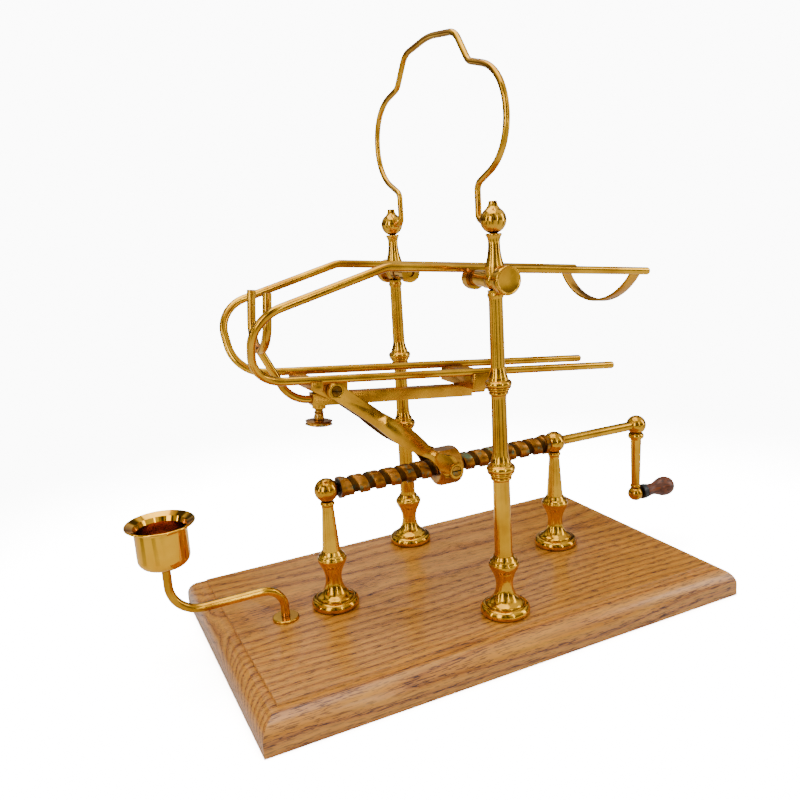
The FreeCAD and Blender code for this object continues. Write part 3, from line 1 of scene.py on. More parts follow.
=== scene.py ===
"""Mechanical decanting cradle: polished brass rails and columns on an oak board.

All sizes are in the row's own frame: X runs along the board towards the crank, Y runs
across it and Z is up. The CAD nodes keep their places. Each class below dresses one
sub-assembly, and replaces the nodes that gain from finer turned or eased shapes.
"""

import logging
import math
from dataclasses import dataclass
from enum import Enum
from functools import lru_cache
from typing import Any, Iterable, Mapping, Sequence

import bmesh
import bpy
from mathutils import Matrix, Vector


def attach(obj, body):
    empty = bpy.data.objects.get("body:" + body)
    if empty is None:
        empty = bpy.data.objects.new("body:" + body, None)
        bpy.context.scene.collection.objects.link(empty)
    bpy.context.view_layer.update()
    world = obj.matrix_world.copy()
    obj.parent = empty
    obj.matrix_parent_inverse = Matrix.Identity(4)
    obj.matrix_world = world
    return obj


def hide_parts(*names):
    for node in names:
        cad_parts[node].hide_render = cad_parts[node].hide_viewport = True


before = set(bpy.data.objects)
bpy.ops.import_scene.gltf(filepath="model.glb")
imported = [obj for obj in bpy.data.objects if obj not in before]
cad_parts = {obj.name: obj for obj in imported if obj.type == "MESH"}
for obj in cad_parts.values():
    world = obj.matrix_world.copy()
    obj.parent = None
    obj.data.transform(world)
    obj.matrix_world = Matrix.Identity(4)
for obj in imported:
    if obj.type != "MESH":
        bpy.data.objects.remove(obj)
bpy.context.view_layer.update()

MM = 0.001
WELD = 2e-6
FINE_WELD = 1e-7
LOG = logging.getLogger("decanting_cradle")

Colour = tuple[float, float, float, float]
Outline = Sequence[tuple[float, float, float]]


class Body(Enum):
    """Rigid bodies of the CAD record that the new pieces ride on."""

    STAND = "stand"
    CRANK = "crank"
    KNOB = "knob"
    CRADLE = "cradle"
    LINKS = "links"


class Slot(Enum):
    """Material slots of the CAD record."""

    BRASS = "polished_brass"
    BRONZE = "aged_bronze"
    OAK = "oak"
    KNOB = "turned_wood"
    FERRULE = "black_ferrule"
    STEEL = "steel_fixings"


# ------------------------------------------------------------------ node helpers


def srgb(code: str) -> Colour:
    """Turn an sRGB hex code into the linear colour a shader socket takes.

    Args:
        code: Six hex digits with a leading hash, such as "#c8963c".

    Returns:
        Linear red, green and blue, and an alpha of one.
    """
    channels = []
    for start in (1, 3, 5):
        value = int(code[start:start + 2], 16) / 255
        channels.append(value / 12.92 if value <= 0.04045 else ((value + 0.055) / 1.055) ** 2.4)
    return (channels[0], channels[1], channels[2], 1.0)


def add_node(
    tree: bpy.types.NodeTree,
    kind: str,
    settings: Mapping[Any, Any] | None = None,
    links: Mapping[Any, bpy.types.NodeSocket] | None = None,
) -> bpy.types.Node:
    """Add one shader node, set it and link its inputs.

    Args:
        tree: Node tree that gets the node.
        kind: Node type without its "ShaderNode" prefix.
        settings: Node attributes or input sockets, by name or number, and their values.
            "stops" holds the places and colours of a colour ramp.
        links: Input sockets, by name or number, and the output sockets that feed them.

    Returns:
        The new node.
    """
    node = tree.nodes.new("ShaderNode" + kind)
    for key, value in (settings or {}).items():
        if key == "stops":
            ramp = node.color_ramp.elements
            while len(ramp) < len(value):
                ramp.new(0.5)
            for element, (place, colour) in zip(ramp, value):
                element.position = place
                element.color = colour
        elif isinstance(key, str) and hasattr(node, key):
            setattr(node, key, value)
        else:
            node.inputs[key].default_value = value
    for key, source in (links or {}).items():
        tree.links.new(source, node.inputs[key])
    return node


def new_material(name: str) -> tuple[bpy.types.Material, bpy.types.NodeTree]:
    """Make an empty node material.

    Args:
        name: Name of the material.

    Returns:
        The material and its node tree, with no nodes in it.
    """
    material = bpy.data.materials.new(name)
    material.use_nodes = True
    material.node_tree.nodes.clear()
    return material, material.node_tree


def grey(value: float) -> Colour:
    """Return a neutral linear colour of one brightness."""
    return (value, value, value, 1.0)


def along_grain(length_mm: float, width_mm: float) -> tuple[float, float, float]:
    """Return the scale of a pattern that is drawn out along X, as wood grain is."""
    return (1 / (length_mm * MM), 1 / (width_mm * MM), 1 / (width_mm * MM))


# ---------------------------------------------------------------------- finishes


@dataclass(frozen=True)
class BrassFinish:
    """Turned, cast or drawn brass with its age.

    Polished brass gives the eye warm, slightly rippled reflections, and dull smudges where
    it has been handled. Crevices get painted shade, a darker brown from ambient occlusion that
    also stands for polish residue, and a screw's groove and inner faces can get more painted shade.
    """

    name: str
    slot: Slot
    bright: str = "#e8ad2a"
    deep: str = "#c4881a"
    # Dark brown of the painted shade in crevices, grooves and inner faces, and of tarnish.
    shade_and_tarnish: str = "#3a1c06"
    smooth: float = 0.09
    dull: float = 0.22
    blotch_mm: float = 22.0
    smudge_mm: float = 5.0
    ripple_mm: float = 7.0
    ripple_depth_mm: float = 0.05
    crevice_mm: float = 2.6
    crevice_strength: float = 0.75
    grit_mm: float = 0.7
    scratch_depth_mm: float = 0.02
    dirt_roughness: float = 0.3
    verdigris: str = "#5f7c5c"
    verdigris_share: float = 0.0
    verdigris_patch: float = 0.55
    verdigris_cover: float = 0.85
    groove_axis_mm: float = 0.0
    groove_radius_mm: float = 0.0
    groove_fade_mm: float = 0.25
    groove_shade: float = 0.8
    inner_face_shade: float = 0.0

    @lru_cache(maxsize=None)
    def material(self) -> bpy.types.Material:
        """Build the shader.

        Returns:
            The brass material.
        """
        material, tree = new_material(self.name)
        place = add_node(tree, "TexCoord").outputs["Object"]
        blotch = add_node(
            tree, "TexNoise",
            {"Scale": 1 / (self.blotch_mm * MM), "Detail": 3.0, "Roughness": 0.55},
            {"Vector": place},
        )
        base = add_node(
            tree, "ValToRGB",
            {"stops": [(0.36, srgb(self.deep)), (0.64, srgb(self.bright))]},
            {"Fac": blotch.outputs["Fac"]},
        )
        smudge = add_node(
            tree, "TexNoise",
            {"Scale": 1 / (self.smudge_mm * MM), "Detail": 5.0, "Roughness": 0.6,
             "Distortion": 0.4},
            {"Vector": place},
        )
        colour = base.outputs["Color"]
        if self.verdigris_share > 0.0:
            patch = add_node(
                tree, "TexNoise",
                {"Scale": 1 / (self.blotch_mm * self.verdigris_patch * MM), "Detail": 4.0,
                 "Roughness": 0.62},
                {"Vector": place},
            )
            edge = 0.66 - 0.2 * self.verdigris_share
            bloom = add_node(
                tree, "MapRange",
                {"From Min": edge, "From Max": edge + 0.1, "To Max": self.verdigris_cover},
                {"Value": patch.outputs["Fac"]},
            )
            colour = add_node(
                tree, "Mix", {"data_type": "RGBA", 7: srgb(self.verdigris)},
                {0: bloom.outputs["Result"], 6: colour},
            ).outputs[2]
        # Painted shade: ambient occlusion darkens crevices towards dark brown; it also stands for
        # polish residue there.
        corner = add_node(
            tree, "AmbientOcclusion", {"samples": 8, "Distance": self.crevice_mm * MM},
        )
        crevice_shade_and_residue = add_node(
            tree, "MapRange",
            {"From Min": 0.3, "From Max": 0.8, "To Min": self.crevice_strength, "To Max": 0.0},
            {"Value": corner.outputs["AO"]},
        )
        shade_and_dirt = crevice_shade_and_residue.outputs["Result"]
        if self.groove_radius_mm > 0.0:
            shade_and_dirt = self.paint_groove_shade(tree, place, shade_and_dirt)
        if self.inner_face_shade > 0.0:
            shade_and_dirt = self.paint_inner_face_shade(tree, place, shade_and_dirt)
        # Painted shade and dirt: the combined mask darkens the colour towards dark brown.
        colour = add_node(
            tree, "Mix", {"data_type": "RGBA", 7: srgb(self.shade_and_tarnish)}, {0: shade_and_dirt, 6: colour},
        ).outputs[2]
        polish = add_node(
            tree, "MapRange",
            {"From Min": 0.3, "From Max": 0.72, "To Min": self.smooth, "To Max": self.dull},
            {"Value": smudge.outputs["Fac"]},
        )
        rough = add_node(
            tree, "Math", {"operation": "MULTIPLY_ADD", 1: self.dirt_roughness},
            {0: shade_and_dirt, 2: polish.outputs["Result"]},
        )
        ripple = add_node(
            tree, "TexNoise",
            {"Scale": 1 / (self.ripple_mm * MM), "Detail": 1.0},
            {"Vector": place},
        )
        wavy = add_node(
            tree, "Bump",
            {"Strength": 0.5, "Distance": self.ripple_depth_mm * MM},
            {"Height": ripple.outputs["Fac"]},
        )
        grit = add_node(
            tree, "TexNoise",
            {"Scale": 1 / (self.grit_mm * MM), "Detail": 3.0, "Roughness": 0.65},
            {"Vector": place},
        )
        worn = add_node(
            tree, "Bump", {"Strength": 0.08, "Distance": self.scratch_depth_mm * MM},
            {"Height": grit.outputs["Fac"], "Normal": wavy.outputs["Normal"]},
        )
        shader = add_node(
            tree, "BsdfPrincipled", {"Metallic": 1.0},
            {"Base Color": colour, "Roughness": rough.outputs["Value"],
             "Normal": worn.outputs["Normal"]},
        )
        add_node(tree, "OutputMaterial", {}, {"Surface": shader.outputs["BSDF"]})
        return material

    def paint_groove_shade(
        self, tree: bpy.types.NodeTree, place: bpy.types.NodeSocket, shade_and_dirt: bpy.types.NodeSocket,
    ) -> bpy.types.NodeSocket:
        """Paint shade into the groove of a screw, near its axis along X, darker towards the root.

        Args:
            tree: Node tree of the finish.
            place: Position on the piece.
            shade_and_dirt: Painted shade and dirt so far.

        Returns:
            The mask with the groove's painted shade added.
        """
        shifted = add_node(
            tree, "VectorMath",
            {"operation": "SUBTRACT", 1: (0.0, 0.0, self.groove_axis_mm * MM)}, {0: place},
        )
        flat = add_node(
            tree, "VectorMath", {"operation": "MULTIPLY", 1: (0.0, 1.0, 1.0)},
            {0: shifted.outputs["Vector"]},
        )
        reach = add_node(tree, "VectorMath", {"operation": "LENGTH"}, {0: flat.outputs["Vector"]})
        # Painted shade in the groove, darkest towards the thread's root.
        groove_shade = add_node(
            tree, "MapRange",
            {"From Min": (self.groove_radius_mm - self.groove_fade_mm) * MM,
             "From Max": (self.groove_radius_mm + self.groove_fade_mm) * MM,
             "To Min": self.groove_shade, "To Max": 0.0},
            {"Value": reach.outputs["Value"]},
        )
        return add_node(
            tree, "Math", {"operation": "MAXIMUM"}, {0: shade_and_dirt, 1: groove_shade.outputs["Result"]},
        ).outputs["Value"]

    def paint_inner_face_shade(
        self, tree: bpy.types.NodeTree, place: bpy.types.NodeSocket, shade_and_dirt: bpy.types.NodeSocket,
    ) -> bpy.types.NodeSocket:
        """Paint shade on the faces that look towards the middle plane, between the links, and make
        them rougher.

        Args:
            tree: Node tree of the finish.
            place: Position on the piece.
            shade_and_dirt: Painted shade and dirt so far.

        Returns:
            The mask with the painted shade of the inner faces added.
        """
        facing = add_node(tree, "TexCoord").outputs["Normal"]
        normal = add_node(tree, "SeparateXYZ", {}, {"Vector": facing})
        where = add_node(tree, "SeparateXYZ", {}, {"Vector": place})
        side = add_node(tree, "Math", {"operation": "SIGN"}, {0: where.outputs["Y"]})
        inward = add_node(
            tree, "Math", {"operation": "MULTIPLY"},
            {0: normal.outputs["Y"], 1: side.outputs["Value"]},
        )
        # Painted shade on the faces that look inward, between the links.
        dull = add_node(
            tree, "MapRange", {"From Min": 0.2, "From Max": -0.6, "To Max": self.inner_face_shade},
            {"Value": inward.outputs["Value"]},
        )
        return add_node(
            tree, "Math", {"operation": "MAXIMUM"}, {0: shade_and_dirt, 1: dull.outputs["Result"]},
        ).outputs["Value"]


@dataclass(frozen=True)
class OakFinish:
    """Flat-sawn oak under satin varnish.

    Growth rings run about a heart line below the board, so the top shows long grain, the
    ends show arcs, and rows of open pores darken the early wood.
    """

    name: str = "varnished_oak"
    slot: Slot = Slot.OAK
    late_wood: str = "#cd8a2e"
    mid_wood: str = "#ba7420"
    early_wood: str = "#925412"
    pore: str = "#3a1c04"
    heart_mm: tuple[float, float] = (22.0, -74.0)
    ring_mm: float = 3.4
    wander_mm: float = 15.0
    wander_length_mm: tuple[float, float] = (210.0, 45.0)
    # The heart line runs almost along the board, so the rings widen slowly lengthwise.
    taper: float = 0.035
    fibre_mm: tuple[float, float] = (30.0, 1.6)
    pore_length_mm: float = 6.5
    # Real pores are about 0.3 mm wide; they are drawn coarser so that they show.
    pore_width_mm: float = 0.6
    pore_depth_mm: float = 0.12

    @lru_cache(maxsize=None)
    def material(self) -> bpy.types.Material:
        """Build the shader.

        Returns:
            The oak material.
        """
        material, tree = new_material(self.name)
        place = add_node(tree, "TexCoord").outputs["Object"]
        slow = add_node(
            tree, "Mapping", {"Scale": along_grain(*self.wander_length_mm)}, {"Vector": place},
        )
        drift = add_node(
            tree, "TexNoise", {"Scale": 1.0, "Detail": 3.0, "Roughness": 0.5},
            {"Vector": slow.outputs["Vector"]},
        )
        shifted = add_node(
            tree, "VectorMath",
            {"operation": "SUBTRACT", 1: (0.0, self.heart_mm[0] * MM, self.heart_mm[1] * MM)},
            {0: place},
        )
        across = add_node(
            tree, "VectorMath", {"operation": "MULTIPLY", 1: (self.taper, 1.0, 1.0)},
            {0: shifted.outputs["Vector"]},
        )
        reach = add_node(
            tree, "VectorMath", {"operation": "LENGTH"}, {0: across.outputs["Vector"]},
        )
        wandering = add_node(
            tree, "Math", {"operation": "MULTIPLY_ADD", 1: self.wander_mm * MM},
            {0: drift.outputs["Fac"], 2: reach.outputs["Value"]},
        )
        count = add_node(
            tree, "Math", {"operation": "DIVIDE", 1: self.ring_mm * MM},
            {0: wandering.outputs["Value"]},
        )
        ring = add_node(tree, "Math", {"operation": "FRACT"}, {0: count.outputs["Value"]})
        grain = add_node(
            tree, "ValToRGB",
            {"stops": [(0.0, srgb(self.early_wood)), (0.16, srgb(self.mid_wood)),
                       (0.62, srgb(self.late_wood)), (0.93, srgb(self.mid_wood)),
                       (1.0, srgb(self.early_wood))]},
            {"Fac": ring.outputs["Value"]},
        )
        pore_map = add_node(
            tree, "Mapping", {"Scale": along_grain(self.pore_length_mm, self.pore_width_mm)},
            {"Vector": place},
        )
        streak = add_node(
            tree, "TexNoise", {"Scale": 1.0, "Detail": 2.0, "Roughness": 0.6},
            {"Vector": pore_map.outputs["Vector"]},
        )
        early = add_node(
            tree, "ValToRGB",
            {"stops": [(0.0, grey(1.0)), (0.3, grey(0.7)), (0.75, grey(0.3)), (1.0, grey(1.0))]},
            {"Fac": ring.outputs["Value"]},
        )
        dark = add_node(
            tree, "MapRange", {"From Min": 0.53, "From Max": 0.59},
            {"Value": streak.outputs["Fac"]},
        )
        pores = add_node(
            tree, "Math", {"operation": "MULTIPLY"},
            {0: dark.outputs["Result"], 1: early.outputs["Color"]},
        )
        fibre_map = add_node(
            tree, "Mapping", {"Scale": along_grain(*self.fibre_mm)}, {"Vector": place},
        )
        fibre = add_node(
            tree, "TexNoise", {"Scale": 1.0, "Detail": 4.0, "Roughness": 0.6},
            {"Vector": fibre_map.outputs["Vector"]},
        )
        shade = add_node(
            tree, "MapRange",
            {"From Min": 0.3, "From Max": 0.7, "To Min": 0.80, "To Max": 1.14},
            {"Value": fibre.outputs["Fac"]},
        )
        fibred = add_node(
            tree, "VectorMath", {"operation": "SCALE"},
            {0: grain.outputs["Color"], "Scale": shade.outputs["Result"]},
        )
        pored = add_node(
            tree, "Mix", {"data_type": "RGBA", 7: srgb(self.pore)},
            {0: pores.outputs["Value"], 6: fibred.outputs["Vector"]},
        )
        rough = add_node(
            tree, "MapRange", {"To Min": 0.34, "To Max": 0.6}, {"Value": pores.outputs["Value"]},
        )
        sunk = add_node(
            tree, "Bump",
            {"Strength": 0.35, "Distance": self.pore_depth_mm * MM, "invert": True},
            {"Height": pores.outputs["Value"]},
        )
        shader = add_node(
            tree, "BsdfPrincipled",
            {"IOR": 1.5, "Coat Weight": 0.3, "Coat Roughness": 0.16},
            {"Base Color": pored.outputs[2], "Roughness": rough.outputs["Result"],
             "Normal": sunk.outputs["Normal"]},
        )
        add_node(tree, "OutputMaterial", {}, {"Surface": shader.outputs["BSDF"]})
        return material


@dataclass(frozen=True)
class TurnedWoodFinish:
    """Red-brown hardwood turned along its grain and varnished, so it shows long streaks."""

    name: str = "turned_hardwood"
    slot: Slot = Slot.KNOB
    light: str = "#8a4410"
    middle: str = "#62300a"
    dark: str = "#341404"
    streak_mm: tuple[float, float] = (14.0, 1.3)
    streak_depth_mm: float = 0.06

    @lru_cache(maxsize=None)
    def material(self) -> bpy.types.Material:
        """Build the shader.

        Returns:
            The hardwood material.
        """
        material, tree = new_material(self.name)
        place = add_node(tree, "TexCoord").outputs["Object"]
        stretch = add_node(
            tree, "Mapping", {"Scale": along_grain(*self.streak_mm)}, {"Vector": place},
        )
        streak = add_node(
            tree, "TexNoise",
            {"Scale": 1.0, "Detail": 4.0, "Roughness": 0.62, "Distortion": 0.6},
            {"Vector": stretch.outputs["Vector"]},
        )
        grain = add_node(
            tree, "ValToRGB",
            {"stops": [(0.34, srgb(self.dark)), (0.52, srgb(self.middle)),
                       (0.7, srgb(self.light))]},
            {"Fac": streak.outputs["Fac"]},
        )
        lines = add_node(
            tree, "Bump", {"Strength": 0.25, "Distance": self.streak_depth_mm * MM},
            {"Height": streak.outputs["Fac"]},
        )
        rough = add_node(
            tree, "MapRange", {"To Min": 0.48, "To Max": 0.3}, {"Value": streak.outputs["Fac"]},
        )
        shader = add_node(
            tree, "BsdfPrincipled", {"IOR": 1.4, "Coat Weight": 0.1, "Coat Roughness": 0.15},
            {"Base Color": grain.outputs["Color"], "Roughness": rough.outputs["Result"],
             "Normal": lines.outputs["Normal"]},
        )
        add_node(tree, "OutputMaterial", {}, {"Surface": shader.outputs["BSDF"]})
        return material


@dataclass(frozen=True)
class CoatedFinish:
    """Plain coated or plated metal: black lacquer on the ferrule, zinc on the fixings."""

    name: str
    slot: Slot
    light: str
    dark: str
    metallic: float
    roughness: tuple[float, float]
    speckle_mm: float = 2.0
    speckle_depth_mm: float = 0.03

    @lru_cache(maxsize=None)
    def material(self) -> bpy.types.Material:
        """Build the shader.

        Returns:
            The coated material.
        """
        material, tree = new_material(self.name)
        place = add_node(tree, "TexCoord").outputs["Object"]
        speckle = add_node(
            tree, "TexNoise",
            {"Scale": 1 / (self.speckle_mm * MM), "Detail": 4.0, "Roughness": 0.6},
            {"Vector": place},
        )
        tone = add_node(
            tree, "ValToRGB", {"stops": [(0.35, srgb(self.dark)), (0.68, srgb(self.light))]},
            {"Fac": speckle.outputs["Fac"]},
        )
        rough = add_node(
            tree, "MapRange", {"To Min": self.roughness[0], "To Max": self.roughness[1]},
            {"Value": speckle.outputs["Fac"]},
        )
        bump = add_node(
            tree, "Bump", {"Strength": 0.2, "Distance": self.speckle_depth_mm * MM},
            {"Height": speckle.outputs["Fac"]},
        )
        shader = add_node(
            tree, "BsdfPrincipled", {"Metallic": self.metallic},
            {"Base Color": tone.outputs["Color"], "Roughness": rough.outputs["Result"],
             "Normal": bump.outputs["Normal"]},
        )
        add_node(tree, "OutputMaterial", {}, {"Surface": shader.outputs["BSDF"]})
        return material


Finish = BrassFinish | OakFinish | TurnedWoodFinish | CoatedFinish

# Turned and cast brass: bright, with broad slightly wavy reflections.
POLISHED = BrassFinish("polished_brass", Slot.BRASS)
# Filed flats: softer and duller than the turned pieces.
BRUSHED = BrassFinish(
    "hand_finished_brass", Slot.BRASS, bright="#dfa02a", deep="#b97a1c", smooth=0.2, dull=0.36,
    ripple_depth_mm=0.03,
)
# Drawn wire: long smooth highlights and hardly a ripple.
DRAWN = BrassFinish(
    "drawn_brass", Slot.BRASS, deep="#b97e18", smooth=0.12, dull=0.22, ripple_depth_mm=0.008,
    crevice_strength=0.35,
)
# Flat links: clean outer faces, and painted shade, a dull brown, on the faces that look at each
# other.
LINK_BRASS = BrassFinish(
    "link_brass", Slot.BRASS, bright="#e3a62c", deep="#b97a1c", smooth=0.14, dull=0.26,
    ripple_depth_mm=0.02, inner_face_shade=0.9,
)
# Spun cup: the brightest surface, with painted shade deep inside it from a wide ambient occlusion
# reach.
SPUN = BrassFinish(
    "spun_brass", Slot.BRASS, bright="#f4b528", deep="#e09a1a", shade_and_tarnish="#3c1a04", smooth=0.05,
    dull=0.12, crevice_mm=18.0, crevice_strength=0.96,
)
# Bronze thread: brown, with painted shade in its grooves and some green.
BRONZE = BrassFinish(
    "aged_bronze", Slot.BRONZE, bright="#b8782a", deep="#6e4012", shade_and_tarnish="#150b04", smooth=0.22,
    dull=0.44, blotch_mm=9.0, smudge_mm=3.0, ripple_depth_mm=0.09, crevice_mm=3.0,
    crevice_strength=0.95, verdigris_share=0.6, groove_axis_mm=87.5, groove_radius_mm=4.75,
)
# Bronze kept brighter by handling.
NUT_BRONZE = BrassFinish(
    "handled_bronze", Slot.BRONZE, bright="#cf9030", deep="#8a5618", shade_and_tarnish="#1d0f05", smooth=0.16,
    dull=0.36, blotch_mm=10.0, crevice_mm=3.0, crevice_strength=0.9, verdigris_share=0.35,
)
OAK = OakFinish()
HARDWOOD = TurnedWoodFinish()
LACQUER = CoatedFinish("black_lacquer", Slot.FERRULE, "#1c1a18", "#0a0908", 0.0, (0.25, 0.45))
ZINC = CoatedFinish("zinc_plate", Slot.STEEL, "#b9bab8", "#8d8f90", 1.0, (0.3, 0.45))


# ----------------------------------------------------------------- shape helpers


def turned(outline: Outline, steps: int = 96, segments: int = 5) -> bmesh.types.BMesh:
    """Spin an outline about the Z axis, as on a lathe.

    Args:
        outline: Radius, height and rounding of each corner in millimetres, from one end of
            the axis to the other.
        steps: Number of flats round the piece.
        segments: Number of flats in each rounded corner.

    Returns:
        The closed shape, in metres.
    """
    shape = bmesh.new()
    corners = [
        shape.verts.new((radius * MM, 0.0, height * MM)) for radius, height, _ in outline
    ]
    for here, there in zip(corners, corners[1:]):
        shape.edges.new((here, there))
    for corner, (_, _, rounding) in zip(corners, outline):
        if rounding > 0.0:
            bmesh.ops.bevel(
                shape, geom=[corner], offset=rounding * MM, offset_type="OFFSET",
                segments=segments, profile=0.5, affect="VERTICES", material=-1,
            )
    bmesh.ops.spin(
        shape, geom=shape.verts[:] + shape.edges[:], axis=(0, 0, 1), cent=(0, 0, 0),
        angle=2 * math.pi, steps=steps, use_merge=True,
    )
    bmesh.ops.remove_doubles(shape, verts=shape.verts, dist=FINE_WELD)
    bmesh.ops.recalc_face_normals(shape, faces=shape.faces)
    return shape


def move(
    shape: bmesh.types.BMesh, place: Iterable[float], along: Vector | None = None,
) -> bmesh.types.BMesh:
    """Put a shape made about the Z axis in its place.

    Args:
        shape: Shape that is moved.
        place: Where its origin goes, in millimetres.
        along: Direction that its Z axis takes, or None to leave it upright.

    Returns:
        The same shape.
    """
    turn = Matrix.Identity(4)
    if along is not None:
        turn = along.to_track_quat("Z", "Y").to_matrix().to_4x4()
    shift = Matrix.Translation(Vector(place) * MM)
    bmesh.ops.transform(shape, matrix=shift @ turn, verts=shape.verts)
    return shape


def eased_copy(
    node: str, width_mm: float, segments: int = 2, angle: float = 32.0, flat_angle: float = 0.6,
) -> bmesh.types.BMesh:
    """Copy a CAD node with its sharp edges eased, so that they catch the light.

    Args:
        node: Name of the CAD node.
        width_mm: Width of the eased edge.
        segments: Number of flats across it.
        angle: Least angle in degrees between the faces of an edge that is eased.
        flat_angle: Greatest angle in degrees between faces that are joined into one.

    Returns:
        The eased copy.
    """
    shape = bmesh.new()
    shape.from_mesh(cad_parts[node].data)
    bmesh.ops.remove_doubles(shape, verts=shape.verts, dist=WELD)
    bmesh.ops.dissolve_limit(
        shape, angle_limit=math.radians(flat_angle), verts=shape.verts, edges=shape.edges,
    )
    sharp = [
        edge for edge in shape.edges
        if len(edge.link_faces) == 2 and edge.calc_face_angle(0.0) > math.radians(angle)
    ]
    bmesh.ops.bevel(
        shape, geom=sharp, offset=width_mm * MM, offset_type="OFFSET", segments=segments,
        profile=0.5, affect="EDGES", clamp_overlap=True, material=-1,
    )
    return shape


def settle(
    shape: bmesh.types.BMesh, name: str, body: Body, finish: Finish, stands_for: Sequence[str] = (),
    sharp: float = 34.0,
) -> bpy.types.Object:
    """Make a finished piece of a shape, and say what it rides on and stands for.

    Args:
        shape: Shape in its place; it is freed.
        name: Name of the piece.
        body: Body that it moves with.
        finish: What it is made of.
        stands_for: CAD nodes that it replaces.
        sharp: Least angle in degrees of an edge that stays crisp.

    Returns:
        The finished piece.
    """
    mesh = bpy.data.meshes.new(name)
    shape.to_mesh(mesh)
    shape.free()
    mesh.polygons.foreach_set("use_smooth", [True] * len(mesh.polygons))
    mesh.set_sharp_from_angle(angle=math.radians(sharp))
    mesh.materials.append(finish.material())
    piece = bpy.data.objects.new(name, mesh)
    bpy.context.scene.collection.objects.link(piece)
    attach(piece, body.value)
    if stands_for:
        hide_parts(*stands_for)
    LOG.info("piece %s on %s: %d faces", name, body.value, len(mesh.polygons))
    return piece


def dress(finish: Finish, *nodes: str) -> None:
    """Give CAD nodes a finish.

    Args:
        finish: What the nodes are made of.
        nodes: Names of the nodes, which keep their shape and place.
    """
    for node in nodes:
        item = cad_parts[node]
        for material_slot in item.material_slots:
            material_slot.material = finish.material()
        LOG.info("node %s dressed in %s", node, finish.name)


# ------------------------------------------------------------------ sub-assemblies


@dataclass
class OakBoard:
    """Moulded oak board and the fixings under it."""

    edge_mm: float = 0.7

    def build(self) -> None:
        """Make the board with softly sanded edges, and dress the fixings."""
        board = eased_copy("base_board", self.edge_mm, segments=3, angle=28.0)
        settle(board, "oak_board", Body.STAND, OAK, ["base_board"])
        dress(ZINC, "foot_screws", "foot_washers", "candle_arm_nut")


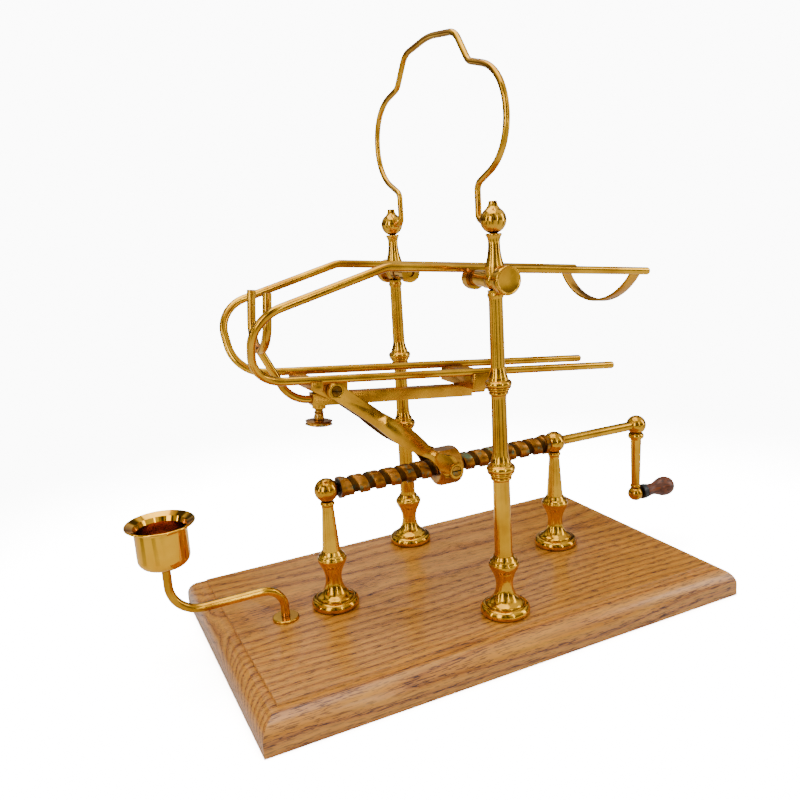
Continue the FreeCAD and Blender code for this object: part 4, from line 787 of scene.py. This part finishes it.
@dataclass
class TurnedStand:
    """Four turned feet, the two tall pillars and the two screw posts."""

    board_top: float = 18.5
    pillar_y: float = 58.0
    post_x: float = 77.0
    shaft_start: float = 52.0
    lower_ring: float = 100.3
    lower_joint: float = 104.7
    upper_ring: float = 145.7
    upper_joint: float = 149.8
    upper_ring_scale: float = 0.92
    block_base: float = 193.7
    post_ball_base: float = 81.15

    foot_outline: Outline = (
        (0, 0, 0), (12.9, 0, 0.25), (13.6, 1.5, 1.0), (13.5, 3.4, 1.3), (12.3, 5.0, 0.9),
        (10.75, 5.45, 0.15), (10.55, 5.0, 0.12), (10.3, 5.3, 0.1), (10.3, 6.0, 0.25),
        (9.6, 6.7, 0.4), (7.9, 7.8, 1.0), (6.3, 9.7, 1.4), (5.2, 12.2, 1.6), (4.7, 14.6, 1.4),
        (4.55, 17.6, 1.4), (5.1, 20.6, 1.6), (6.3, 23.7, 0.5), (6.35, 24.0, 0.1), (6.6, 24.2, 0.1),
        (7.8, 26.6, 0.9), (8.3, 28.3, 0.5), (8.3, 29.3, 0.35), (7.7, 29.9, 0.3), (7.5, 30.6, 0.3),
        (6.5, 31.6, 0.6), (5.6, 33.2, 0.3), (5.4, 33.5, 0), (0, 33.5, 0),
    )

    def ring(self, height: float, scale: float) -> list[tuple[float, float, float]]:
        """Outline of a turned ring: two beads, a thin flange and a round, from below.

        Args:
            height: Middle of the ring above the table.
            scale: Size against the lower ring.

        Returns:
            The outline's corners.
        """
        corners = (
            (4.5, -5.9, 0.4), (5.5, -5.3, 0.35), (5.6, -4.3, 0.4), (5.0, -3.8, 0.15),
            (5.9, -3.4, 0.3), (6.2, -2.6, 0.35), (5.8, -2.1, 0.12), (7.0, -1.8, 0.15),
            (7.15, -1.25, 0.2), (6.7, -1.0, 0.1), (7.5, -0.3, 0.6), (7.6, 1.1, 0.7),
            (6.9, 2.2, 0.7), (5.7, 2.6, 0.2), (5.6, 3.7, 0.4), (5.5, 4.4, 0.1),
        )
        return [
            (radius * scale, height + rise * scale, soft * scale) for radius, rise, soft in corners
        ]

    def shafts(self) -> dict[str, Outline]:
        """Outlines of the three lengths of a pillar.

        Returns:
            Each length's CAD name without its side, and its outline.
        """
        start, joint, top_joint = self.shaft_start, self.lower_joint, self.upper_joint
        lower = [
            (0, start, 0), (5.0, start, 0), (4.8, 54.0, 0.5), (4.45, 92.6, 1.0),
            *self.ring(self.lower_ring, 1.0), (0, joint, 0),
        ]
        middle = [
            (0, joint, 0), (5.2, joint, 0), (4.7, 106.0, 0.8), (4.15, 109.0, 1.5),
            (3.85, 138.6, 1.0), *self.ring(self.upper_ring, self.upper_ring_scale),
            (0, top_joint, 0),
        ]
        upper = [
            (0, top_joint, 0), (4.9, top_joint, 0), (4.4, 151.2, 0.7), (3.75, 154.0, 1.4),
            (3.55, 189.6, 0.6), (4.1, 190.6, 0.3), (4.3, 191.6, 0.3), (3.8, 192.3, 0.2),
            (4.1, self.block_base, 0.1), (0, self.block_base, 0),
        ]
        return {"lower_shaft": lower, "middle_shaft": middle, "upper_shaft": upper}

    def build(self) -> None:
        """Turn the columns and dress the pieces that stay."""
        feet = (
            ("pillar_foot_near", 0.0, -self.pillar_y), ("pillar_foot_far", 0.0, self.pillar_y),
            ("post_foot_left", -self.post_x, 0.0), ("post_foot_right", self.post_x, 0.0),
        )
        for node, x, y in feet:
            foot = move(turned(self.foot_outline), (x, y, self.board_top))
            settle(foot, "turned_" + node, Body.STAND, POLISHED, [node])
        for side, y in (("near", -self.pillar_y), ("far", self.pillar_y)):
            for part, outline in self.shafts().items():
                shaft = move(turned(outline), (0.0, y, 0.0))
                node = f"{part}_{side}"
                settle(shaft, "turned_" + node, Body.STAND, POLISHED, [node])
            dress(POLISHED, "trunnion_block_" + side, "finial_" + side)
        start, base = self.shaft_start, self.post_ball_base
        stem = (
            (0, start, 0), (5.1, start, 0), (4.95, 53.6, 0.5), (3.35, 76.6, 1.0),
            (3.4, base - 2.6, 0.3), (4.0, base - 2.0, 0.3), (4.05, base - 0.9, 0.35),
            (3.5, base - 0.4, 0.2), (3.7, base, 0), (0, base, 0),
        )
        for side, x in (("left", -self.post_x), ("right", self.post_x)):
            settle(move(turned(stem), (x, 0.0, 0.0)), "turned_stem_" + side, Body.STAND, POLISHED,
                   ["post_stem_" + side])
            dress(POLISHED, "bearing_ball_" + side)


@dataclass
class TrunnionScrews:
    """Broad-headed screws on which the cradle tips."""

    head_y: float = 64.8
    height: float = 199.0
    head: Outline = (
        (0, 0, 0), (6.9, 0, 0.2), (7.25, 0.8, 0.3), (7.0, 1.5, 0.15), (7.35, 2.1, 0.2),
        (7.35, 5.0, 0.4), (6.9, 5.9, 0.3), (6.35, 5.95, 0.2), (6.0, 5.5, 0.2), (0, 5.35, 0),
    )
    shank: Outline = ((0, 0, 0), (2.4, 0, 0), (2.4, 28.6, 0.3), (0, 28.6, 0))
    shank_in_head: float = 0.5

    def build(self) -> None:
        """Turn both heads, with their shanks, and dress the spacers."""
        heads = bmesh.new()
        for side in (-1, 1):
            outward = Vector((0, side, 0))
            head = move(turned(self.head, steps=80), (0, side * self.head_y, self.height), outward)
            shank = move(
                turned(self.shank, steps=32),
                (0, side * (self.head_y + self.shank_in_head), self.height), -outward,
            )
            for part in (head, shank):
                carrier = bpy.data.meshes.new("carrier")
                part.to_mesh(carrier)
                part.free()
                heads.from_mesh(carrier)
                bpy.data.meshes.remove(carrier)
        settle(heads, "trunnion_screw_heads", Body.STAND, POLISHED, ["trunnion_screws"])
        dress(POLISHED, "trunnion_spacers")


@dataclass
class LeadScrew:
    """Coarse bronze screw, its nut, bearings and crank."""

    axis_height: float = 87.5
    lead: float = 9.8
    radius: float = 5.6
    root: float = 4.5
    half_groove: float = 1.7
    crest_slope: float = 0.25
    root_slope: float = 0.1
    crest_rounding: float = 0.35
    root_rounding: float = 0.3
    end: float = 67.7
    steps_per_turn: int = 64

    def thread(self) -> bmesh.types.BMesh:
        """Wind one pitch of the thread's section along the screw.

        Returns:
            The threaded length, closed at both ends.
        """
        half = self.lead / 2
        crest = self.half_groove + self.crest_slope
        root = self.half_groove - self.root_slope
        section = (
            (-half, self.radius, 0), (-crest, self.radius, self.crest_rounding),
            (-root, self.root, self.root_rounding), (root, self.root, self.root_rounding),
            (crest, self.radius, self.crest_rounding), (half, self.radius, 0),
        )
        turns_each_way = math.ceil(self.end / self.lead) + 1
        start = -turns_each_way * self.lead
        shape = bmesh.new()
        chain = [
            shape.verts.new(((start + along) * MM, 0.0, -radius * MM))
            for along, radius, _ in section
        ]
        for here, there in zip(chain, chain[1:]):
            shape.edges.new((here, there))
        for corner, (_, _, rounding) in zip(chain, section):
            if rounding > 0.0:
                bmesh.ops.bevel(
                    shape, geom=[corner], offset=rounding * MM, offset_type="OFFSET", segments=3,
                    profile=0.5, affect="VERTICES", material=-1,
                )
        turns = 2 * turns_each_way
        steps = turns * self.steps_per_turn
        bmesh.ops.spin(
            shape, geom=shape.verts[:] + shape.edges[:], axis=(1, 0, 0), cent=(0, 0, 0),
            dvec=(self.lead * MM / self.steps_per_turn, 0, 0), angle=turns * 2 * math.pi,
            steps=steps,
        )
        bmesh.ops.remove_doubles(shape, verts=shape.verts, dist=WELD)
        for x, clear in ((-self.end, {"clear_inner": True}), (self.end, {"clear_outer": True})):
            cut = bmesh.ops.bisect_plane(
                shape, geom=shape.verts[:] + shape.edges[:] + shape.faces[:],
                plane_co=(x * MM, 0, 0), plane_no=(1, 0, 0), **clear,
            )
            rim = [item for item in cut["geom_cut"] if isinstance(item, bmesh.types.BMEdge)]
            bmesh.ops.contextual_create(shape, geom=rim)
        bmesh.ops.recalc_face_normals(shape, faces=shape.faces)
        return move(shape, (0, 0, self.axis_height))

    def build(self) -> None:
        """Make the screw and dress what turns with it."""
        settle(self.thread(), "lead_screw_thread", Body.CRANK, BRONZE, ["lead_screw"], sharp=50.0)
        dress(BRONZE, "thrust_collar_left", "thrust_collar_right")
        dress(NUT_BRONZE, "travelling_nut")
        dress(POLISHED, "crank_ball", "crank_arm", "crank_knuckle", "knob_spindle")
        dress(DRAWN, "crank_shaft")


@dataclass
class CrankKnob:
    """Turned wooden knob with its black ferrule."""

    start: float = 152.65
    height: float = 39.0
    wood: Outline = (
        (1.6, 0, 0), (4.4, 0, 0.2), (4.75, 0.5, 0.3), (4.6, 1.6, 0.5), (4.1, 3.4, 1.0),
        (3.85, 5.6, 1.2), (4.1, 7.9, 1.2), (4.7, 10.2, 1.0), (5.7, 12.4, 1.2), (6.5, 15.0, 1.5),
        (6.6, 17.9, 1.5), (6.0, 20.6, 1.5), (4.6, 22.8, 1.4), (3.0, 23.6, 0.6), (2.65, 23.6, 0.1),
        (2.6, 19.2, 0), (1.6, 19.0, 0), (1.6, 0, 0),
    )

    def build(self) -> None:
        """Turn the knob and dress the ferrule."""
        knob = move(turned(self.wood), (self.start, 0, self.height), Vector((1, 0, 0)))
        settle(knob, "turned_knob", Body.KNOB, HARDWOOD, ["wooden_knob"])
        dress(LACQUER, "knob_ferrule")


@dataclass
class BottleCradle:
    """Rails, strap, saddles, slide tube and trunnion lugs."""

    edge_mm: float = 0.3

    def build(self) -> None:
        """Ease the edges of the flat pieces and dress the rods."""
        for node in ("pivot_block", "rear_saddle", "slide_tube", "rear_strap"):
            settle(eased_copy(node, self.edge_mm), "eased_" + node, Body.CRADLE, BRUSHED, [node])
        dress(DRAWN, "rail_near", "rail_far")
        dress(POLISHED, "trunnion_lug_near", "trunnion_lug_far")
        dress(NUT_BRONZE, "upper_pivot_screws")


@dataclass
class LinkPair:
    """Two flat links between the cradle and the nut."""

    edge_mm: float = 0.35

    def build(self) -> None:
        """Ease the edges of both links."""
        for node in ("link_near", "link_far"):
            settle(eased_copy(node, self.edge_mm), "eased_" + node, Body.LINKS, LINK_BRASS, [node])
        dress(NUT_BRONZE, "lower_pivot_screws")


@dataclass
class NeckRest:
    """Neck fork on its sliding rod, and the screw that clamps it."""

    def build(self) -> None:
        """Dress the rod, the fork and the clamp screw."""
        dress(DRAWN, "neck_fork", "slide_rod")
        dress(NUT_BRONZE, "thumbscrew")


@dataclass
class WireHandle:
    """Bent wire handle over the bottle."""

    def build(self) -> None:
        """Dress the wire."""
        dress(DRAWN, "bail_handle")


@dataclass
class CandleHolder:
    """Swivelling arm with its cup."""

    def build(self) -> None:
        """Dress the arm, the flange, the collar and the cup."""
        dress(SPUN, "candle_cup", "cup_collar")
        dress(DRAWN, "candle_arm")
        dress(POLISHED, "candle_flange")


# -------------------------------------------------------------------------- studio


@dataclass
class SoftBox:
    """One white soft light: where it stands, its size and its strength."""

    name: str
    place: tuple[float, float, float]
    size: tuple[float, float]
    power: float


@dataclass
class Studio:
    """White table, soft lights and the camera."""

    camera_place: tuple[float, float, float] = (-0.2112, -0.3901, 0.2313)
    azimuth: float = -25.06
    elevation: float = 13.08
    roll: float = -3.46
    lens: float = 35.17
    film_width: float = 36.0
    sight: tuple[float, float] = (0.01, 20.0)
    aim: tuple[float, float, float] = (0.0, 0.0, 0.12)
    backdrop: float = 11.0
    table_radius: float = 6.0
    table_grey: float = 0.7
    table_gain: float = 13.0
    table_fade: tuple[float, float] = (0.24, 0.5)
    horizon: str = "#5a4a3c"
    bay_scale: float = 3.4
    bay_edge: tuple[float, float] = (0.44, 0.54)
    table_bays: tuple[float, float] = (0.05, 0.95)
    room_bays: tuple[float, float] = (0.08, 1.15)
    boxes: tuple[SoftBox, ...] = (
        SoftBox("overhead", (-0.1, 0.05, 1.1), (1.1, 0.8), 9.0),
        SoftBox("front_left", (-0.95, -0.6, 0.5), (0.35, 0.8), 4.5),
        SoftBox("right", (0.95, -0.5, 0.45), (0.25, 0.8), 3.4),
        SoftBox("front_strip", (0.12, -1.2, 0.5), (0.07, 0.9), 1.8),
        SoftBox("side_strip", (-1.25, 0.1, 0.5), (0.07, 0.9), 2.2),
    )

    def camera(self) -> None:
        """Stand the camera at its place with its slight roll."""
        azimuth = math.radians(self.azimuth)
        elevation = math.radians(self.elevation)
        roll = math.radians(self.roll)
        back = Vector((
            math.sin(azimuth) * math.cos(elevation), -math.cos(azimuth) * math.cos(elevation),
            math.sin(elevation),
        ))
        level = Vector((math.cos(azimuth), math.sin(azimuth), 0.0))
        upright = back.cross(level)
        right = level * math.cos(roll) + upright * math.sin(roll)
        up = upright * math.cos(roll) - level * math.sin(roll)
        data = bpy.data.cameras.new("camera")
        data.lens = self.lens
        data.sensor_width = self.film_width
        data.clip_start, data.clip_end = self.sight
        camera = bpy.data.objects.new("camera", data)
        bpy.context.scene.collection.objects.link(camera)
        turn = Matrix((right, up, back)).transposed().to_4x4()
        camera.matrix_world = Matrix.Translation(self.camera_place) @ turn
        bpy.context.scene.camera = camera

    def lights(self) -> None:
        """Hang the soft boxes, each facing the middle of the object."""
        for box in self.boxes:
            data = bpy.data.lights.new(box.name, "AREA")
            data.shape = "RECTANGLE"
            data.size, data.size_y = box.size
            data.energy = box.power
            light = bpy.data.objects.new(box.name, data)
            light.location = box.place
            light.rotation_mode = "QUATERNION"
            away = Vector(box.place) - Vector(self.aim)
            light.rotation_quaternion = away.to_track_quat("Z", "Y")
            bpy.context.scene.collection.objects.link(light)

    def table(self) -> None:
        """Lay a white table that fades into the white surroundings."""
        material, tree = new_material("white_table")
        place = add_node(tree, "TexCoord").outputs["Object"]
        reach = add_node(tree, "VectorMath", {"operation": "LENGTH"}, {0: place})
        fade = add_node(
            tree, "MapRange",
            {"From Min": self.table_fade[0], "From Max": self.table_fade[1],
             "interpolation_type": "SMOOTHSTEP"},
            {"Value": reach.outputs["Value"]},
        )
        seen = add_node(tree, "LightPath")
        white = add_node(
            tree, "Mix",
            {"data_type": "RGBA", 6: grey(self.table_grey), 7: grey(self.table_gain)},
            {0: seen.outputs["Is Camera Ray"]},
        )
        cloth = add_node(tree, "BsdfDiffuse", {}, {"Color": white.outputs[2]})
        glow = add_node(
            tree, "Emission", {"Color": grey(1.0)},
            {"Strength": self.seen_white(tree, place, seen)},
        )
        blend = add_node(
            tree, "MixShader", {}, {0: fade.outputs["Result"], 1: cloth.outputs["BSDF"],
                                    2: glow.outputs["Emission"]},
        )
        add_node(tree, "OutputMaterial", {}, {"Surface": blend.outputs["Shader"]})
        shape = bmesh.new()
        bmesh.ops.create_circle(shape, cap_ends=True, segments=96, radius=self.table_radius)
        mesh = bpy.data.meshes.new("table_top")
        shape.to_mesh(mesh)
        shape.free()
        mesh.materials.append(material)
        table = bpy.data.objects.new("table_top", mesh)
        bpy.context.scene.collection.objects.link(table)

    def seen_white(
        self, tree: bpy.types.NodeTree, place: bpy.types.NodeSocket, seen: bpy.types.Node,
    ) -> bpy.types.NodeSocket:
        """Strength of the backdrop: white to the eye, and light and dark bays to the metal.

        Args:
            tree: Node tree that gets the nodes.
            place: Position on the table.
            seen: Light path node of the same tree.

        Returns:
            The strength.
        """
        way = add_node(tree, "VectorMath", {"operation": "NORMALIZE"}, {0: place})
        bays = add_node(
            tree, "TexNoise", {"Scale": self.bay_scale, "Detail": 1.0},
            {"Vector": way.outputs["Vector"]},
        )
        light = add_node(
            tree, "MapRange",
            {"From Min": self.bay_edge[0], "From Max": self.bay_edge[1],
             "To Min": self.table_bays[0], "To Max": self.table_bays[1],
             "interpolation_type": "SMOOTHSTEP"},
            {"Value": bays.outputs["Fac"]},
        )
        return add_node(
            tree, "Mix", {3: self.backdrop},
            {0: seen.outputs["Is Camera Ray"], 2: light.outputs["Result"]},
        ).outputs[0]

    def surroundings(self) -> None:
        """Make white surroundings that metal sees as a bright room with a darker horizon."""
        world = bpy.data.worlds.new("light_tent")
        bpy.context.scene.world = world
        world.use_nodes = True
        tree = world.node_tree
        tree.nodes.clear()
        look = add_node(tree, "TexCoord").outputs["Generated"]
        height = add_node(tree, "SeparateXYZ", {}, {"Vector": look})
        level = add_node(
            tree, "MapRange", {"From Min": -1.0, "From Max": 1.0}, {"Value": height.outputs["Z"]},
        )
        room = add_node(
            tree, "ValToRGB",
            {"stops": [(0.0, grey(0.5)), (0.45, grey(0.34)), (0.54, srgb(self.horizon)),
                       (0.66, grey(0.35)), (0.8, grey(0.85)), (1.0, grey(1.0))]},
            {"Fac": level.outputs["Result"]},
        )
        tall = add_node(
            tree, "Mapping",
            {"Location": (0.4, 0.0, 0.0), "Scale": (self.bay_scale, self.bay_scale, 0.4)},
            {"Vector": look},
        )
        shapes = add_node(
            tree, "TexNoise", {"Scale": 1.0, "Detail": 1.0, "Distortion": 0.2},
            {"Vector": tall.outputs["Vector"]},
        )
        contrast = add_node(
            tree, "MapRange",
            {"From Min": self.bay_edge[0], "From Max": self.bay_edge[1],
             "To Min": self.room_bays[0], "To Max": self.room_bays[1],
             "interpolation_type": "SMOOTHSTEP"},
            {"Value": shapes.outputs["Fac"]},
        )
        patchy = add_node(
            tree, "VectorMath", {"operation": "SCALE"},
            {0: room.outputs["Color"], "Scale": contrast.outputs["Result"]},
        )
        seen = add_node(tree, "LightPath")
        colour = add_node(
            tree, "Mix", {"data_type": "RGBA", 7: grey(self.backdrop)},
            {0: seen.outputs["Is Camera Ray"], 6: patchy.outputs["Vector"]},
        )
        sky = add_node(tree, "Background", {"Strength": 1.0}, {"Color": colour.outputs[2]})
        add_node(tree, "OutputWorld", {}, {"Surface": sky.outputs["Background"]})

    def build(self) -> None:
        """Set up camera, lights, table and surroundings."""
        self.camera()
        self.lights()
        self.table()
        self.surroundings()


def main() -> None:
    """Build the studio and every sub-assembly in order."""
    logging.basicConfig(level=logging.INFO, format="%(message)s")
    Studio().build()
    assemblies = (
        OakBoard(), TurnedStand(), TrunnionScrews(), LeadScrew(), CrankKnob(), BottleCradle(),
        LinkPair(), NeckRest(), WireHandle(), CandleHolder(),
    )
    for assembly in assemblies:
        assembly.build()
        LOG.info("%s done", type(assembly).__name__)


if __name__ == "__main__":
    main()
